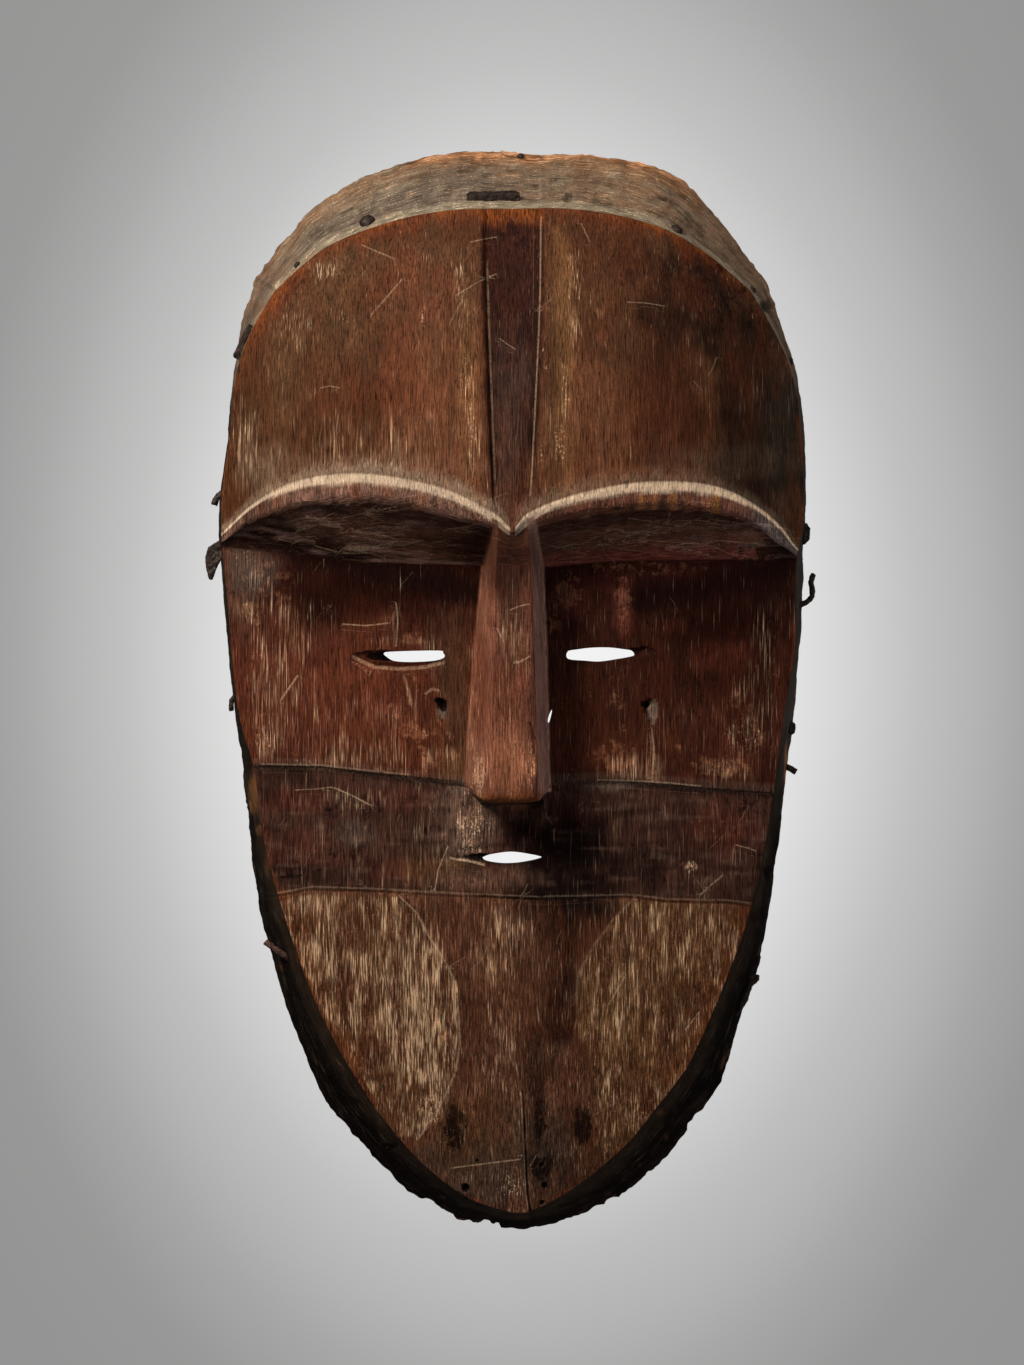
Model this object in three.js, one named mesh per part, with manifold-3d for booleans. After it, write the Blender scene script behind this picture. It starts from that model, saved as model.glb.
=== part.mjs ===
// Carved wooden face mask of the Adouma kind, lying on its flat back rim with the face up.
// Millimetres. X runs to the viewer's right, Y towards the crown, Z out of the face.
// The back rim lies on Z = 0 and the middle of the mask's box is on X = 0, Y = 0.

import * as THREE from "three";
import { mergeVertices } from "three/addons/utils/BufferGeometryUtils.js";
import Module from "manifold-3d";

const wasm = await Module();
wasm.setup();

// Driving dimensions, heights above the back rim

const CROWN_EDGE_HEIGHT = 69;
const CROWN_CORNER_HEIGHT = 52.5;
const BROW_HEIGHT = 84;
const BROW_TIP_HEIGHT = 48.5;
const BROW_FLARE = 1.8;
const BROW_FLARE_WIDTH = 7;
const BROW_DROOP_POWER = 2.5;
const LEDGE_FACE_DROP = 2.6;
const FACE_HEIGHT = 56;
const FACE_EDGE_HEIGHT = 46;
const BAND_HEIGHT = 54.5;
const BAND_EDGE_HEIGHT = 44.5;
const CHIN_HEIGHT = 38;
const CHIN_CORNER_HEIGHT = 41;
const FOREHEAD_SWELL = 4.5;
const NOSE_TOP_HEIGHT = 81.5;
const NOSE_END_HEIGHT = 80;
const NOSE_TIP_ROUNDING = 1.6;
const STRIP_DEPTH = 1.5;
const BAND_GROOVE_DEPTH = 1.7;
const BAND_GROOVE_WIDTH = 1.5;
const BAND_SINK = 0.8;
const KEEL_HEIGHT = 2.4;
const KEEL_SIDE_SHARE = 0.3;
const CHIN_KEEL_HEIGHT = 1.2;
const HALF_WIDTH = 100;

// Wall and hollow

const WALL_BULGE = 0.8;
const RIM_INSET = 1.5;
const HOLLOW_DEPTH_AT_CROWN = 60;
const HOLLOW_DEPTH_AT_BROW = 74;
const HOLLOW_DEPTH_AT_FACE = 46.5;
const HOLLOW_DEPTH_AT_BAND = 44.5;
const HOLLOW_DEPTH_AT_CHIN = 30.5;
const HOLLOW_DROP_AT_CROWN = 16;
const HOLLOW_DROP_AT_BROW = 26;
const HOLLOW_DROP_AT_FACE = 8;
const HOLLOW_EDGE_INSET = 11.5;
const BELOW_RIM = 1;

// Gap left between the wood and the iron or twig set into it
const SOCKET_GAP = 0.3;

// Front edge of the carving, seen from the front

const leftEdge = [
  [134.3, -81.8], [112, -93.4], [86, -97.3], [58, -100.3], [26, -98], [-9.5, -94.6], [-29.5, -89.2],
  [-52.6, -86], [-83.3, -77.7], [-112, -67.2], [-134.4, -55.4],
];
const rightEdge = [
  [134.5, 82], [110, 95], [86, 99.6], [56, 100.2], [44, 98.4], [34, 97.8], [11, 97.4],
  [-6.4, 94.6], [-50.5, 88.3], [-81.6, 81.4], [-112.5, 70], [-133, 60.7],
];
const crownEdge = [
  [-81.8, 134.3], [-66, 147.8], [-50.5, 154.6], [-27, 160.4], [0, 161.6], [27, 160.8], [50, 155.8],
  [66, 147.6], [82, 134.5],
];
const chinEdge = [
  [-55.4, -134.4], [-43.3, -152.5], [-30.6, -166.8], [-16.5, -177.6], [-2.4, -183], [5.8, -183],
  [20.5, -175.6], [39.5, -160], [50.2, -146.8], [60.7, -133],
];

// Lines carved across the face, from left to right

const ledgeTop = [
  [-99.8, 51.2], [-89, 60.8], [-77, 67.4], [-62, 70.3], [-46, 70.1], [-25.4, 65.9], [-12.5, 60.4],
  [-4.6, 55.8], [0.3, 51.4], [4.6, 56.2], [17.1, 61.7], [35.2, 66.3], [54, 67.9], [70, 66.4],
  [82.8, 60.9], [92.5, 53.2], [97.9, 45.8],
];
const ledgeFoot = [
  [-99.4, 48.4], [-91, 55.2], [-79, 59.9], [-64.5, 62.8], [-48.6, 63.1], [-33, 60.7], [-17.6, 56.3],
  [-6, 53.2], [0.3, 49.2], [6, 53.2], [19.8, 57.2], [35, 59.5], [54, 60.6], [71, 59],
  [81, 56], [90, 49.8], [97.9, 43.8],
];
const underbrowFoot = [
  [-99.3, 46.6], [-76.4, 44.2], [-55, 41.6], [-10, 40.2], [11, 39.6], [44, 41.8], [98.5, 42],
];
const bandTop = [
  [-89.5, -28.6], [-65.7, -29.1], [-40, -32], [-17.9, -34.2], [0, -34.6], [30.4, -33.6],
  [54.3, -35.1], [90, -37.9],
];
const bandFoot = [[-81, -72.4], [-44, -72], [9.6, -74.6], [41.3, -74], [82.6, -77]];
const noseEnd = [
  [-88, -37.5], [-30, -39.5], [-14.6, -36.4], [-10.5, -39.6], [0, -40.2], [9, -39.8], [12.6, -37],
  [30, -41.5], [89, -44.5],
];

// Lines carved down the middle: outer left, inner left, inner right and outer right.
// On the forehead they are the sides of the sunken strip, below it the sides of the nose.

const stripAtCrown = [-10, -8.6, 8.8, 10.2];
const stripMidway = [-7.1, -6.2, 6.1, 7.1];
const noseAtBrow = [-6, -5, 5.4, 6.4];
const noseAtLedgeFoot = [-6.3, -5.1, 5.4, 7.6];
const noseAtUnderbrow = [-9.8, -6.1, 6.3, 10.2];
const noseAtBand = [-15.8, -7.4, 8.7, 12.6];
const noseAtEnd = [-14.8, -7.6, 8.8, 12.8];
const keelAtBandFoot = [-20, -7, 16, 27];
const keelAtChin = [-8, 1.6, 8.8, 18];

// How far the walls lean out between the front edge and the back rim, by place along Y

const leftFlare = [
  [-184, 8.5], [-176, 10.6], [-168, 12.8], [-154, 13.6], [-137, 15.2], [-112, 12.4], [-78, 10],
  [-52, 7], [-28, 6], [-10, 2.8], [20, 2.6], [60, 2.2], [100, 2.4], [112, 4.2], [130, 10.5],
  [146, 16.4], [156, 23.4], [162, 26.3],
];
const rightFlare = [
  [-184, 8.8], [-176, 12.2], [-168, 14.4], [-145, 15.4], [-128, 13.9], [-113, 11.8], [-97, 11],
  [-70, 7.8], [-39, 6], [-8, 5.4], [10, 3.6], [38, 4.8], [52, 2.6], [100, 3.4], [112, 4.6],
  [132, 9.4], [144, 14.6], [152, 20], [157, 25.4], [162, 25],
];

// A smooth function through points given as [place, value]
function through(points) {
  const last = points.length - 1;
  const order = points[0][0] < points[last][0] ? points : [...points].reverse();
  const chord = (a, b) => (order[b][1] - order[a][1]) / (order[b][0] - order[a][0]);
  const slope = order.map((point, i) => chord(Math.max(i - 1, 0), Math.min(i + 1, last)));
  slope[0] += (chord(0, 1) - slope[1]) / 2;
  slope[last] += (chord(last - 1, last) - slope[last - 1]) / 2;
  return (place) => {
    const at = THREE.MathUtils.clamp(place, order[0][0], order[last][0]);
    let i = 0;
    while (i < last - 1 && at > order[i + 1][0]) {
      i += 1;
    }
    const span = order[i + 1][0] - order[i][0];
    const f = (at - order[i][0]) / span;
    const rise = order[i + 1][1] - order[i][1];
    const bendStart = slope[i] * span - rise;
    const bendEnd = rise - slope[i + 1] * span;
    return order[i][1] + rise * f + f * (1 - f) * ((1 - f) * bendStart + f * bendEnd);
  };
}

const mix = THREE.MathUtils.lerp;
const square = (u) => u * u;

// Rises from 0 to 1 at the middle of a stretch and falls back to 0 at its end
const arch = (f) => 4 * f * (1 - f);

// Where the inner and outer carved lines fall across the sheet, from -1 at left to 1 at right
const OUTER_LINE = 0.16;
const INNER_LINE = 0.1;

// Places of the columns of a sheet, closer together in the middle
function columnPlaces(sideSteps, middleSteps) {
  const spread = (from, to, steps) => Array.from({ length: steps + 1 }, (_, i) => mix(from, to, i / steps));
  return [
    ...spread(-1, -OUTER_LINE, sideSteps),
    ...spread(-INNER_LINE, INNER_LINE, middleSteps),
    ...spread(OUTER_LINE, 1, sideSteps),
  ];
}

// The X of a column, from the left end, the four middle lines and the right end of its row
function acrossAt(place, leftEnd, lines, rightEnd) {
  const knots = [-1, -OUTER_LINE, -INNER_LINE, INNER_LINE, OUTER_LINE, 1];
  const stops = [leftEnd, ...lines, rightEnd];
  let i = 0;
  while (i < knots.length - 2 && place > knots[i + 1]) {
    i += 1;
  }
  return mix(stops[i], stops[i + 1], (place - knots[i]) / (knots[i + 1] - knots[i]));
}

// A point on one carved line: its X and Y, and its height from the side and middle profiles
function pointOnLine(row, place) {
  const side = place < 0 ? row.leftEnd : row.rightEnd;
  const x = acrossAt(place, row.leftEnd, row.lines, row.rightEnd);
  const outward = Math.min(Math.abs(x / side), 1);
  const inner = THREE.MathUtils.clamp(
    (OUTER_LINE - Math.abs(place)) / (OUTER_LINE - INNER_LINE), 0, 1);
  const z = mix(row.side(outward), row.middle(Math.abs(place) / INNER_LINE), inner);
  return new THREE.Vector3(x, row.line(x), z);
}

// A sheet of points between carved lines, row by row from the crown to the chin.
// Every row ends on the outline, and the swell lifts the sheet midway between two lines.
function sheetOf(rows, places, edges) {
  for (const row of rows) {
    row.line = through(row.points);
    row.leftY = row.points[0][1];
    row.rightY = row.points[row.points.length - 1][1];
    row.leftEnd = edges.left(row.leftY);
    row.rightEnd = edges.right(row.rightY);
  }
  const sheet = [];
  rows.forEach((row, i) => {
    const next = rows[i + 1];
    const steps = next ? row.steps : 1;
    for (let step = 0; step < steps; step += 1) {
      const f = step / steps;
      sheet.push(places.map((place) => {
        const point = pointOnLine(row, place);
        if (step === 0) {
          return point;
        }
        const side = place < 0 ? "left" : "right";
        const straightEnd = mix(row[side + "End"], next[side + "End"], f);
        const trueEnd = edges[side](mix(row[side + "Y"], next[side + "Y"], f));
        point.lerp(pointOnLine(next, place), f);
        const outward = point.x / straightEnd;
        point.x += outward > 0 ? outward * (trueEnd - straightEnd) : 0;
        point.z += (row.swell ?? 0) * arch(f) * (1 - square(outward));
        return point;
      }));
    }
  });
  return sheet;
}

// The border of a sheet, anticlockwise seen from the front
function borderOf(sheet) {
  const lastRow = sheet.length - 1;
  const lastColumn = sheet[0].length - 1;
  const upTo = (count) => Array.from({ length: count }, (_, i) => i);
  return [
    ...upTo(lastRow).map((i) => [i, 0]),
    ...upTo(lastColumn).map((j) => [lastRow, j]),
    ...upTo(lastRow).map((i) => [lastRow - i, lastColumn]),
    ...upTo(lastColumn).map((j) => [0, lastColumn - j]),
  ];
}

// Points moved outwards from a closed loop, seen from the front, by a distance for each point.
// Outwards is square to the loop over a stretch long enough to pass over small steps in it.
const OUTWARD_REACH = 9;

function movedOut(loop, distance) {
  const at = (index) => loop[(index + loop.length) % loop.length];
  const firstBeyondReach = (start, step) => {
    let index = start + step;
    while (Math.hypot(at(index).x - at(start).x, at(index).y - at(start).y) < OUTWARD_REACH) {
      index += step;
    }
    return at(index);
  };
  return loop.map((point, i) => {
    const along = firstBeyondReach(i, 1).clone().sub(firstBeyondReach(i, -1)).setZ(0).normalize();
    const out = new THREE.Vector3(along.y, -along.x, 0);
    return point.clone().addScaledVector(out, distance(point));
  });
}

// A ring round leaning walls, part of the way down from the edge above to the base
function wallRing(edgeLoop, leanAt, baseHeight, down) {
  const bulge = WALL_BULGE * arch(down);
  return movedOut(edgeLoop, (point) => leanAt(point) * down + bulge)
    .map((point) => point.setZ(mix(point.z, baseHeight, down)));
}

// A closed solid under a sheet: the sheet, walls that lean out, and a flat base
function solidUnder(sheet, leanAt, baseHeight, wallSteps) {
  const columns = sheet[0].length;
  const vertices = sheet.flat().map((point) => point.clone());
  const faces = [];
  for (let i = 0; i < sheet.length - 1; i += 1) {
    for (let j = 0; j < columns - 1; j += 1) {
      const a = i * columns + j;
      const b = a + columns;
      faces.push([a, b, b + 1], [a, b + 1, a + 1]);
    }
  }
  let ring = borderOf(sheet).map(([i, j]) => i * columns + j);
  const edgeLoop = ring.map((index) => vertices[index]);
  for (let step = 1; step <= wallSteps; step += 1) {
    const lower = wallRing(edgeLoop, leanAt, baseHeight, step / wallSteps)
      .map((point) => vertices.push(point) - 1);
    ring.forEach((top, i) => {
      const next = (i + 1) % ring.length;
      faces.push([top, lower[i], ring[next]], [ring[next], lower[i], lower[next]]);
    });
    ring = lower;
  }
  const outline = ring.map((index) => new THREE.Vector2(vertices[index].x, vertices[index].y));
  for (const [a, b, c] of THREE.ShapeUtils.triangulateShape(outline, [])) {
    faces.push([ring[a], ring[c], ring[b]]);
  }
  return new wasm.Manifold(new wasm.Mesh({
    numProp: 3,
    vertProperties: new Float32Array(vertices.flatMap((point) => point.toArray())),
    triVerts: new Uint32Array(faces.flat()),
  }));
}

const MERGE_DISTANCE = 1e-4;

// A solid for joining and cutting, from any closed geometry
function solidFrom(geometry) {
  const bare = geometry.index ? geometry.toNonIndexed() : geometry.clone();
  bare.deleteAttribute("normal");
  bare.deleteAttribute("uv");
  const merged = mergeVertices(bare, MERGE_DISTANCE);
  return new wasm.Manifold(new wasm.Mesh({
    numProp: 3,
    vertProperties: new Float32Array(merged.attributes.position.array),
    triVerts: new Uint32Array(merged.index.array),
  }));
}

// The geometry of a solid
function geometryFrom(solid) {
  const mesh = solid.getMesh();
  const geometry = new THREE.BufferGeometry();
  geometry.setAttribute("position", new THREE.BufferAttribute(mesh.vertProperties, 3));
  geometry.setIndex(new THREE.BufferAttribute(mesh.triVerts, 1));
  geometry.computeVertexNormals();
  return geometry;
}

// Carved rows of the outside, from the crown edge to the chin edge

function frontRows() {
  const crownSide = (u) => mix(CROWN_EDGE_HEIGHT, CROWN_CORNER_HEIGHT, square(u));
  const browSide = (u) => mix(BROW_HEIGHT, BROW_TIP_HEIGHT, Math.pow(u, BROW_DROOP_POWER));
  const faceSide = (u) => mix(FACE_HEIGHT, FACE_EDGE_HEIGHT, square(u));
  const bandSide = (u) => mix(BAND_HEIGHT, BAND_EDGE_HEIGHT, square(u));
  const sunkBandSide = (u) => bandSide(u) - BAND_SINK;
  const chinSide = (u) => mix(CHIN_HEIGHT, CHIN_CORNER_HEIGHT, square(u));
  const flareWidth = (x) => BROW_FLARE_WIDTH * (1 - square(x / HALF_WIDTH) / 2);
  const aboveLedge = ledgeTop.map(([x, y]) => [x, y + flareWidth(x)]);
  const grooveFoot = bandTop.map(([x, y]) => [x, y - BAND_GROOVE_WIDTH]);
  const noseFoot = noseEnd.map(([x, y]) => [x, y - NOSE_TIP_ROUNDING]);
  return [
    { points: crownEdge, lines: stripAtCrown, side: crownSide,
      middle: () => CROWN_EDGE_HEIGHT - STRIP_DEPTH, steps: 9, swell: FOREHEAD_SWELL },
    { points: aboveLedge, lines: stripMidway, side: (u) => browSide(u) - BROW_FLARE,
      middle: () => BROW_HEIGHT - BROW_FLARE - STRIP_DEPTH, steps: 2 },
    { points: ledgeTop, lines: noseAtBrow, side: browSide, middle: () => BROW_HEIGHT, steps: 1 },
    { points: ledgeFoot, lines: noseAtLedgeFoot,
      side: (u) => browSide(u) - LEDGE_FACE_DROP * (1 - square(u)),
      middle: () => NOSE_TOP_HEIGHT, steps: 3 },
    { points: underbrowFoot, lines: noseAtUnderbrow, side: faceSide,
      middle: () => NOSE_TOP_HEIGHT, steps: 8 },
    { points: bandTop, lines: noseAtBand, side: bandSide, middle: () => NOSE_END_HEIGHT, steps: 1 },
    { points: grooveFoot, lines: noseAtBand, side: (u) => bandSide(u) - BAND_GROOVE_DEPTH,
      middle: () => NOSE_END_HEIGHT, steps: 1 },
    { points: noseEnd, lines: noseAtEnd, side: sunkBandSide,
      middle: () => NOSE_END_HEIGHT - NOSE_TIP_ROUNDING, steps: 1 },
    { points: noseFoot, lines: noseAtEnd, side: sunkBandSide,
      middle: () => BAND_HEIGHT, steps: 4 },
    { points: bandFoot, lines: keelAtBandFoot, side: bandSide,
      middle: (u) => BAND_HEIGHT + KEEL_HEIGHT * mix(1, KEEL_SIDE_SHARE, square(u)),
      steps: 11, swell: KEEL_HEIGHT },
    { points: chinEdge, lines: keelAtChin, side: chinSide,
      middle: (u) => CHIN_HEIGHT + CHIN_KEEL_HEIGHT * (1 - u) },
  ];
}

// Rows of the hollow behind the face, a plainer copy of the outside

function hollowRows() {
  const middleLines = [-9, -6, 6, 9];
  const crown = [
    [-74.7, 126.5], [-58, 139], [-34, 147.4], [0, 150], [34, 147.8], [58, 139.6], [75.1, 126.5],
  ];
  const chin = [
    [-47.3, -128], [-34, -148], [-16, -165], [1.6, -170.5], [19, -164.6], [37, -148], [51.9, -127],
  ];
  const dome = (top, drop, power = 2) => (u) => top - drop * Math.pow(u, power);
  const flat = (height) => () => height;
  return [
    { points: crown, lines: middleLines, side: dome(HOLLOW_DEPTH_AT_CROWN, HOLLOW_DROP_AT_CROWN),
      middle: flat(HOLLOW_DEPTH_AT_CROWN), steps: 6, swell: FOREHEAD_SWELL },
    { points: [[-87, 70], [-45, 77], [0, 76], [45, 77], [88, 68]], lines: middleLines,
      side: dome(HOLLOW_DEPTH_AT_BROW, HOLLOW_DROP_AT_BROW, BROW_DROOP_POWER),
      middle: flat(HOLLOW_DEPTH_AT_BROW), steps: 3 },
    { points: [[-87.6, 49], [0, 48], [88.4, 48]], lines: middleLines,
      side: dome(HOLLOW_DEPTH_AT_FACE, HOLLOW_DROP_AT_FACE),
      middle: flat(HOLLOW_DEPTH_AT_FACE), steps: 6 },
    { points: [[-70.8, -74], [0, -74], [72, -76]], lines: middleLines,
      side: dome(HOLLOW_DEPTH_AT_BAND, HOLLOW_DROP_AT_FACE),
      middle: flat(HOLLOW_DEPTH_AT_BAND), steps: 6 },
    { points: chin, lines: middleLines, side: flat(HOLLOW_DEPTH_AT_CHIN),
      middle: flat(HOLLOW_DEPTH_AT_CHIN) },
  ];
}

// The lean of the left wall passes into that of the right within this distance of the middle
const FLARE_BLEND = 30;

const flareLeft = through(leftFlare);
const flareRight = through(rightFlare);
const flareAt = (point) => mix(
  flareLeft(point.y), flareRight(point.y),
  THREE.MathUtils.smoothstep(point.x, -FLARE_BLEND, FLARE_BLEND));

const FRONT_SIDE_COLUMNS = 14;
const FRONT_MIDDLE_COLUMNS = 4;
const FRONT_WALL_STEPS = 3;
const HOLLOW_SIDE_COLUMNS = 8;
const HOLLOW_MIDDLE_COLUMNS = 2;
const HOLLOW_WALL_STEPS = 2;

const edgeCurves = { left: through(leftEdge), right: through(rightEdge) };
const frontSheet = sheetOf(
  frontRows(), columnPlaces(FRONT_SIDE_COLUMNS, FRONT_MIDDLE_COLUMNS), edgeCurves);
const hollowEdges = {
  left: (y) => edgeCurves.left(y) + HOLLOW_EDGE_INSET,
  right: (y) => edgeCurves.right(y) - HOLLOW_EDGE_INSET,
};
const hollowSheet = sheetOf(
  hollowRows(), columnPlaces(HOLLOW_SIDE_COLUMNS, HOLLOW_MIDDLE_COLUMNS), hollowEdges);

// The plain shell: outside less hollow
const outside = solidUnder(frontSheet, flareAt, 0, FRONT_WALL_STEPS);
const hollowFlareAt = (point) => flareAt(point) + RIM_INSET;
const hollow = solidUnder(hollowSheet, hollowFlareAt, -BELOW_RIM, HOLLOW_WALL_STEPS);
const shell = outside.subtract(hollow);

// Slits and holes cut through the face

const leftEye = { inner: -23, outer: -44.3, y: 9.1, tall: 4.2, tail: -55.7, tailY: 9.4, surface: 52.3 };
const rightEye = { inner: 18.8, outer: 42.7, y: 9.6, tall: 5, tail: 50.5, tailY: 11, surface: 52.8 };
const mouth = { inner: 10.1, outer: -10, y: -60.3, tall: 4.2, tail: -21.6, tailY: -60.6, surface: 53.6 };
const SLIT_BOTTOM = 20;
const SLIT_TOP = 70;
const SLIT_END = 5;
const TAIL_DEPTH = 5;
const TAIL_NARROWING = 0.8;
const noseHole = { x: 12.9, y: -11.4, wide: 1.3, tall: 4.2 };

function prism(shape, bottom, top) {
  const geometry = new THREE.ExtrudeGeometry(shape, {
    depth: top - bottom, bevelEnabled: false, curveSegments: 3,
  });
  return geometry.translate(0, 0, bottom);
}

// A slit with flat long sides and drawn-in ends
function slitOpening({ inner, outer, y, tall }) {
  const away = Math.sign(outer - inner);
  const half = tall / 2;
  const shape = new THREE.Shape();
  shape.moveTo(inner, y);
  shape.quadraticCurveTo(inner + away, y + half, inner + away * SLIT_END, y + half);
  shape.lineTo(outer - away * SLIT_END, y + half);
  shape.quadraticCurveTo(outer - away, y + half, outer, y + half / 2);
  shape.lineTo(outer, y - half / 2);
  shape.quadraticCurveTo(outer - away, y - half, outer - away * SLIT_END, y - half);
  shape.lineTo(inner + away * SLIT_END, y - half);
  shape.quadraticCurveTo(inner + away, y - half, inner, y);
  return solidFrom(prism(shape, SLIT_BOTTOM, SLIT_TOP));
}

// The shallow tail cut at a slit's outer end, rising to nothing at its tip
function slitTail({ outer, y, tall, tail, tailY, surface }) {
  const away = Math.sign(tail - outer);
  const run = Math.abs(tail - outer);
  const half = tall / 2;
  const root = -away * (run + SLIT_END);
  const shape = new THREE.Shape();
  shape.moveTo(0, 0);
  shape.lineTo(-away * run, y - tailY + half * TAIL_NARROWING);
  shape.lineTo(root, y - tailY + half * TAIL_NARROWING);
  shape.lineTo(root, y - tailY - half);
  shape.lineTo(-away * run, y - tailY - half);
  const geometry = prism(shape, 0, SLIT_TOP - SLIT_BOTTOM);
  geometry.rotateY(-away * Math.atan2(TAIL_DEPTH, run));
  geometry.translate(tail, tailY, surface);
  return solidFrom(geometry);
}

function boxHole({ x, y, wide, tall }) {
  const geometry = new THREE.BoxGeometry(wide, tall, SLIT_TOP - SLIT_BOTTOM);
  return solidFrom(geometry.translate(x, y, (SLIT_TOP + SLIT_BOTTOM) / 2));
}

const cuts = [
  ...[leftEye, rightEye, mouth].flatMap((slit) => [slitOpening(slit), slitTail(slit)]),
  boxHole(noseHole),
];

// Iron nails, staples, a hook and a twig driven into the walls.
// Each is made about its own spot on the wall: X runs anticlockwise round the mask seen from the
// front, Y points out of the wall and Z runs down the wall to the back rim.

const NAIL_SIDES = 10;
const WIRE_SIDES = 8;

// A domed nail with its shank in the wood. The dome is drawn by two points between rim and top,
// given as shares of the head's radius and of the dome's height.
const DOME_SIDE = { out: 0.92, up: 0.5 };
const DOME_SHOULDER = { out: 0.55, up: 0.9 };

function nail({ head, dome, shank, length }, gap) {
  const profile = [
    [0, -length - gap], [shank + gap, -length - gap], [shank + gap, -gap], [head + gap, -gap],
    [head * DOME_SIDE.out + gap, dome * DOME_SIDE.up],
    [head * DOME_SHOULDER.out + gap, dome * DOME_SHOULDER.up + gap], [0, dome + gap],
  ];
  return new THREE.LatheGeometry(profile.map(([x, y]) => new THREE.Vector2(x, y)), NAIL_SIDES);
}

// A bent rod of round section along points in the plane of the rim
function rod({ path, thick, steps }, gap) {
  const radius = thick / 2 + gap;
  const section = Array.from({ length: WIRE_SIDES }, (_, i) => {
    const turn = (i / WIRE_SIDES) * Math.PI * 2;
    return new THREE.Vector2(Math.cos(turn) * radius, Math.sin(turn) * radius);
  });
  const shape = new THREE.Shape(section);
  const points = path.map(([x, y, z = 0]) => new THREE.Vector3(x, y, z));
  const inward = points[0].clone().sub(points[1]).setLength(gap);
  points[0].add(inward);
  const extrudePath = new THREE.CatmullRomCurve3(points);
  return new THREE.ExtrudeGeometry(shape, { steps, extrudePath });
}

// The gap round a plate grows at its sharp corners, up to itself divided by this share
const LEAST_CORNER_SHARE = 0.4;

// A flat iron of even thickness cut to an outline of points along the wall and out of it
function plate({ outline, wide }, gap) {
  const corners = outline.map(([x, y]) => new THREE.Vector3(x, y, 0));
  const grown = corners.map((point, i) => {
    const before = corners[(i + corners.length - 1) % corners.length];
    const after = corners[(i + 1) % corners.length];
    const inDir = point.clone().sub(before).normalize();
    const outDir = after.clone().sub(point).normalize();
    const out = new THREE.Vector3(inDir.y + outDir.y, -inDir.x - outDir.x, 0).normalize();
    const sideways = new THREE.Vector3(outDir.y, -outDir.x, 0);
    const stretch = gap / Math.max(out.dot(sideways), LEAST_CORNER_SHARE);
    return new THREE.Vector2(point.x + out.x * stretch, point.y + out.y * stretch);
  });
  const half = wide / 2 + gap;
  return prism(new THREE.Shape(grown), -half, half);
}

// A staple: a bar that lies just over the wall, with rounded ends, and two legs driven in
function staple({ long, wide, thick, leg, over = 0.1 }) {
  const half = long / 2;
  const shoulder = thick * 0.7;
  const bend = half - thick * 0.5;
  const outline = [
    [-half, -leg], [-half + thick, -leg], [-half + thick, over], [half - thick, over],
    [half - thick, -leg], [half, -leg], [half, shoulder], [bend, thick], [-bend, thick],
    [-half, shoulder],
  ];
  return { outline, wide };
}

const bentNailPath = [[-1, -6], [-0.2, -1], [1, 2.2], [3, 3.9], [5.6, 4.1], [8.4, 3.5], [11.2, 4.5]];
const pegNailPath = [[1.2, -7], [0.4, -2], [-0.4, 1], [-1.6, 3.6]];
const twigPath = [[6, -4.8, 0], [1.5, -1.2, 0], [-3, 2.6, 0.1], [-7, 5.4, 0.4]];
const stubNailLeftPath = [[-2.6, -4], [-2.4, -1], [-0.6, 0.9], [2.8, 1.1]];
const sideNailLeftPath = [[-2.2, -5], [-1.8, -1], [0.6, 1.2], [3, 1.7]];
const hookOutline = [
  [-3.2, -6], [3.6, -6], [3.8, 0.2], [6.4, 1.8], [10.3, 3.4], [10.3, 4.7], [6.8, 5.5], [2.4, 5.5],
  [-1, 4.2], [-3.2, 0.6],
];
const strapOutline = [
  [-8.6, -3], [-6.6, -3], [-6.4, 0.2], [5.6, 0.6], [5.8, -3], [7.4, -3], [7.8, 3], [6, 3.3],
  [3.2, 2], [-2.4, 2], [-6, 1.3], [-8.4, 0.6],
];

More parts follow.
